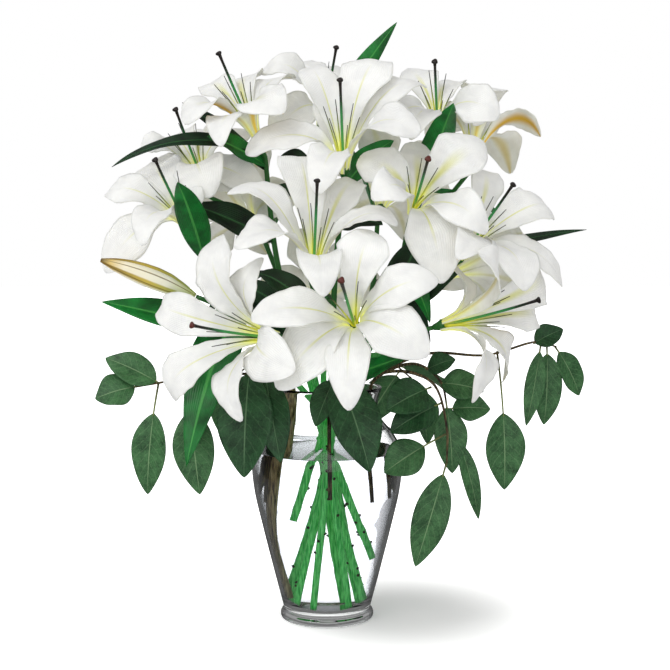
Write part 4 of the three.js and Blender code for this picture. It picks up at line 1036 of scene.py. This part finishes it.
def growSpray(name, spray):
    chance = random.Random(name)
    cut, neck, *arch = [Vector(p) for p in spray["twig"]]
    lip = Vector((neck.x * twigForm["lipShare"], neck.y * twigForm["lipShare"], twigForm["lipLevel"]))
    above = [neck, lip, *arch]
    rough = [catmull(above, i / 6) for i in range(7)]
    below = [cut, Vector(spray["bow"]), neck] if "bow" in spray else [cut, neck]
    centres = [catmull(below, i / 20) for i in range(20)] + [catmull(above, i / 36) for i in range(37)]
    radius = spray.get("radius", twigForm["radius"])

    def radiusAt(s):
        return radius * (1 - twigForm["taper"] * s ** 1.6)

    knots = [(chance.uniform(0.02, 0.95), chance.uniform(0, fullTurn)) for _ in range(twigForm["knots"])]

    def swell(s, angle):
        bulge = 1 + 0.05 * math.sin(23 * s + 2 * math.cos(angle))
        for place, turn in knots:
            near = math.exp(-((s - place) / 0.012) ** 2)
            bulge += twigForm["knotSwell"] * near * (1 + math.cos(angle - turn)) / 2
        return bulge

    materials = [spray.get("bark", twigBark), broadLeaf, leafStalk, broadShaded]
    pieces = [growTube(centres, radiusAt, 14, 0, swell)]
    tree = corners(name)
    blades = []
    for at, tipPoint, width, bare in spray["leaves"]:
        root, tip = pointAlong(rough, at), Vector(tipPoint)
        face = leafFace(root, tip)
        bend = bendOf(name, tree, lambda b: broadCurve(root, tip, face, b))
        curve = broadCurve(root, tip, face, bend)

        def outline(t):
            return max(width * math.sin(math.pi * t ** 0.8) ** 0.85, 2 * (1 - t))

        shade = 3 if at in spray.get("shaded", ()) else 1
        wave = broad["wave"] * width
        blades.append(growLeaf(curve, outline, broad["fold"], wave, chance, shade, 16, 34, bare))
        stalkPath = [bezier(curve, (bare + 0.02) * i / 8) for i in range(9)]
        pieces.append(growTube(stalkPath, lambda s: broad["stalk"] - 0.35 * s, 8, 2))
    blade = joined(name + "Blades", blades, materials)
    thicken(blade, broad["thickness"])
    whole = joined("foliageSpray" + name[8:], [*pieces, blade], materials)
    settle(whole, name)


for name, spray in sprays.items():
    growSpray(name, spray)
print("foliage sprays grown")

# the vase: clear soda-lime glass, blown and polished, so hard bright lines and a faint green in its thick foot
vase = {
    "foot": [(0, 0.6), (30, 0.4), (46, 0), (50.5, 0), (51.8, 0.8),
             (52.5, 2.5), (52.5, 5.2), (51.6, 7.2), (50, 8.2), (49, 10)],
    "body": [(49.5, 13), (60.5, 55), (73, 105), (82, 145), (84.5, 172), (81.5, 195), (72, 213)],
    "collar": [(69.5, 214.5), (60.5, 226), (57, 242), (61.5, 260)],
    "rim": [(61.5, 259.4), (61.4, 260.4), (60.6, 261), (59.6, 261), (58.6, 260.4)],
    "wall": 4, "wallFoot": 20, "floor": [(44.5, 18.4), (43.2, 16.2), (41, 15), (30, 14.3), (0, 14)],
    "waterFloor": [(0, 14.3), (30, 14.6), (40.8, 15.4), (42.9, 16.6), (44.1, 18.6)],
    "waterGap": 0.36, "waterLevel": 190, "steps": 112,
}


def curvedOutline(points, count):
    found = [catmull([(r, 0, z) for r, z in points], i / count) for i in range(count + 1)]
    return [(p.x, p.z) for p in found]


def spun(name, outline, steps):
    # the half outline as a ring of corners, spun once round the vase's axis
    bpy.ops.object.select_all(action="DESELECT")
    bpy.ops.mesh.primitive_circle_add(vertices=len(outline), radius=0.05)
    piece = bpy.context.object
    for vertex, (r, z) in zip(piece.data.vertices, outline):
        vertex.co = (r * metre, 0, z * metre)
    bpy.ops.object.mode_set(mode="EDIT")
    bpy.ops.mesh.select_all(action="SELECT")
    bpy.ops.mesh.spin(steps=steps, angle=2 * math.pi, center=(0, 0, 0), axis=(0, 0, 1))
    bpy.ops.mesh.select_all(action="SELECT")
    bpy.ops.mesh.remove_doubles(threshold=1e-6)
    bpy.ops.mesh.dissolve_degenerate(threshold=1e-6)
    bpy.ops.mesh.select_all(action="SELECT")
    bpy.ops.mesh.normals_make_consistent(inside=False)
    bpy.ops.object.mode_set(mode="OBJECT")
    piece.name = piece.data.name = name
    bpy.ops.object.shade_smooth_by_angle(angle=math.radians(40))
    return piece


bodyLine = curvedOutline(vase["body"], 48)
collarLine = curvedOutline(vase["collar"], 26)
downwards = [*reversed(collarLine[:-1]), *reversed(bodyLine)]
innerLine = [(r - vase["wall"], z) for r, z in downwards if z > vase["wallFoot"]]
glassOutline = [*vase["foot"], *bodyLine, *collarLine[:-1], *vase["rim"], *innerLine, *vase["floor"]]


def clearMaterial(name, middle, edge, ior, mirror, passed, waveLength, waveDepth):
    # clear where it is looked at squarely and greyer towards its edges: partly the longer path through thick
    # glass and water, partly painted shade standing in for the dark surroundings seen in it
    material, tree = newMaterial(name)
    objectPlace = addNode(tree, "TexCoord").outputs["Object"]
    wave = addNode(tree, "TexNoise", {"Vector": objectPlace, "Scale": 1 / (waveLength * metre), "Detail": 1.0})
    bump = addNode(tree, "Bump", {"Height": wave, "Strength": 0.25, "Distance": waveDepth * metre})
    facing = addNode(tree, "LayerWeight", {"Blend": 0.5}).outputs["Facing"]
    tint = addNode(tree, "ValToRGB", {"Fac": facing}, stops=[(0.45, middle), (0.88, edge)])
    clear = addNode(tree, "BsdfPrincipled", {
        "Base Color": tint, "Roughness": 0.0, "IOR": ior, "Transmission Weight": 1.0,
        "Specular Tint": linear(mirror), "Normal": bump,
    })
    through = addNode(tree, "BsdfTransparent", {"Color": linear(passed)})
    shadow = addNode(tree, "LightPath").outputs["Is Shadow Ray"]  # lamps shine through, with a pale shadow
    mixed = addNode(tree, "MixShader", {0: shadow, 1: clear, 2: through})
    addNode(tree, "OutputMaterial", {"Surface": mixed})
    return material


# blown glass has a slow wave in its wall, about 30 mm long, and still water hardly any
sodaLimeGlass = clearMaterial("sodaLimeGlass", "#fdfefe", "#434b49", 1.5, "#d8d8d8", "#e6eae8", 30, 2)
tapWater = clearMaterial("tapWater", "#ededf3", "#a9afb4", 1.33, "#202020", "#fafcfc", 25, 0.2)
glassWall = spun("vaseGlass", glassOutline, vase["steps"])
glassWall.data.materials.append(sodaLimeGlass)
settle(glassWall, "vase")

level = vase["waterLevel"]
wet = [(r - vase["waterGap"], z) for r, z in reversed(innerLine) if z < level - 1]
edge = wet[-1][0] + 0.15
# the water climbs a little at the wall
meniscus = [(edge, level), (edge - 1.2, level - 0.6), (edge - 3.5, level - 0.9), (0, level - 1)]
waterOutline = [*vase["waterFloor"], *wet, *meniscus]
water = spun("vaseWater", waterOutline, vase["steps"])
water.data.materials.append(tapWater)
settle(water, "water")
print("vase and water turned")

# the studio: a pale floor, a white room, a large soft lamp from the upper left and a softer one from the front
studio = {
    "floor": 40000, "room": 0.62, "mirrored": 0.34, "mirroredFloor": 0.16,
    "glow": 0.12, "farGlow": 1.2, "glowStart": 40, "glowEnd": 270, "glowCentre": (88, 5, 0),
}
lamps = {
    "mainLamp": {"place": (-1300, -1500, 2300), "size": 1.3, "power": 22},
    "frontFill": {"place": (300, -2900, 900), "size": 2.4, "power": 16},
}
bpy.ops.object.select_all(action="DESELECT")
bpy.ops.mesh.primitive_plane_add(size=studio["floor"] * metre, location=(0, 0, 0))
floor = bpy.context.object
floor.name = "studioFloor"
floorPaint, tree = newMaterial("paintedBoard")
# white board lit from below, as a light table is, and brighter behind the vase, so that no horizon shows
floorPlace = addNode(tree, "TexCoord").outputs["Object"]
# the glow is weakest round a point right of the vase's foot: painted light that lets the lamp's shadow show
# only there
glowCentre = Vector(studio["glowCentre"]) * metre
shift = addNode(tree, "VectorMath", {0: floorPlace, 1: glowCentre}, operation="SUBTRACT")
away = addNode(tree, "VectorMath", {0: shift}, operation="LENGTH")
ray = addNode(tree, "LightPath").outputs
bounced = addNode(tree, "Math", {0: ray["Diffuse Depth"], 1: ray["Glossy Depth"]}, operation="ADD")
farGlow = addNode(tree, "MapRange", {"Value": bounced, "To Min": studio["farGlow"], "To Max": studio["glow"]})
glow = addNode(tree, "MapRange", {
    "Value": away, "From Min": studio["glowStart"] * metre, "From Max": studio["glowEnd"] * metre,
    "To Min": studio["glow"], "To Max": farGlow,
}, interpolation_type="SMOOTHSTEP")
paint = addNode(tree, "BsdfPrincipled", {
    "Base Color": linear("#f7f7f7"), "Roughness": 0.9, "Specular IOR Level": 0.1,
    "Emission Color": linear("#ffffff"), "Emission Strength": glow,
})
# mirrored in the glass and the leaves it is darker, so that they don't look milky
mirrored = addNode(tree, "Emission", {"Strength": studio["mirroredFloor"]})
inMirror = addNode(tree, "Math", {0: ray["Glossy Depth"], 1: 0.5}, operation="GREATER_THAN")
board = addNode(tree, "MixShader", {0: inMirror, 1: paint, 2: mirrored})
addNode(tree, "OutputMaterial", {"Surface": board})
floor.data.materials.append(floorPaint)

# two grey cards, one on each side and out of the picture, give the glass its dark edges
cards = {"away": 720, "front": -700, "back": 900, "height": 560, "pale": 0.8, "dark": 0.02}
cardPaper, tree = newMaterial("greyCard")
depth = addNode(tree, "SeparateXYZ", {"Vector": addNode(tree, "TexCoord").outputs["Object"]}).outputs["Y"]
shade = addNode(tree, "MapRange", {
    "Value": depth, "From Min": 0.25 * cards["back"] * metre, "From Max": cards["back"] * metre,
    "To Min": cards["dark"], "To Max": cards["pale"],
})
glowing = addNode(tree, "Emission", {"Color": linear("#f4f6f8"), "Strength": shade})
addNode(tree, "OutputMaterial", {"Surface": glowing})
for side in (-1, 1):
    bpy.ops.object.select_all(action="DESELECT")
    bpy.ops.mesh.primitive_plane_add(size=metre)
    card = bpy.context.object
    card.name = "greyCard" + ("Right" if side > 0 else "Left")
    cornerPlaces = [(y, z) for z in (0, cards["height"]) for y in (cards["front"], cards["back"])]
    for vertex, (y, z) in zip(card.data.vertices, cornerPlaces):
        vertex.co = (side * cards["away"] * metre, y * metre, z * metre)
    card.data.materials.append(cardPaper)
    card.visible_camera = card.visible_diffuse = card.visible_shadow = False

world = bpy.data.worlds.new("whiteRoom")
world.use_nodes = True
scene.world = world
tree = world.node_tree
tree.nodes.clear()
ray = addNode(tree, "LightPath").outputs
roomOrWhite = addNode(tree, "MapRange", {
    "Value": ray["Diffuse Depth"], "To Min": 1.0, "To Max": studio["room"],
})
inMirror = addNode(tree, "Math", {0: ray["Glossy Depth"], 1: 0.5}, operation="GREATER_THAN")
strength = addNode(tree, "MapRange", {
    "Value": inMirror, "To Min": roomOrWhite, "To Max": studio["mirrored"],
})
background = addNode(tree, "Background", {"Color": linear("#ffffff"), "Strength": strength})
addNode(tree, "OutputWorld", {"Surface": background})

for name, light in lamps.items():
    place = Vector(light["place"]) * metre
    aim = (Vector((0, 0, 0.4)) - place).to_track_quat("-Z", "Y").to_euler()
    bpy.ops.object.light_add(type="AREA", location=place, rotation=aim)
    lamp = bpy.context.object
    lamp.name = name
    lamp.data.size = light["size"]
    lamp.data.energy = light["power"]
print("studio set")
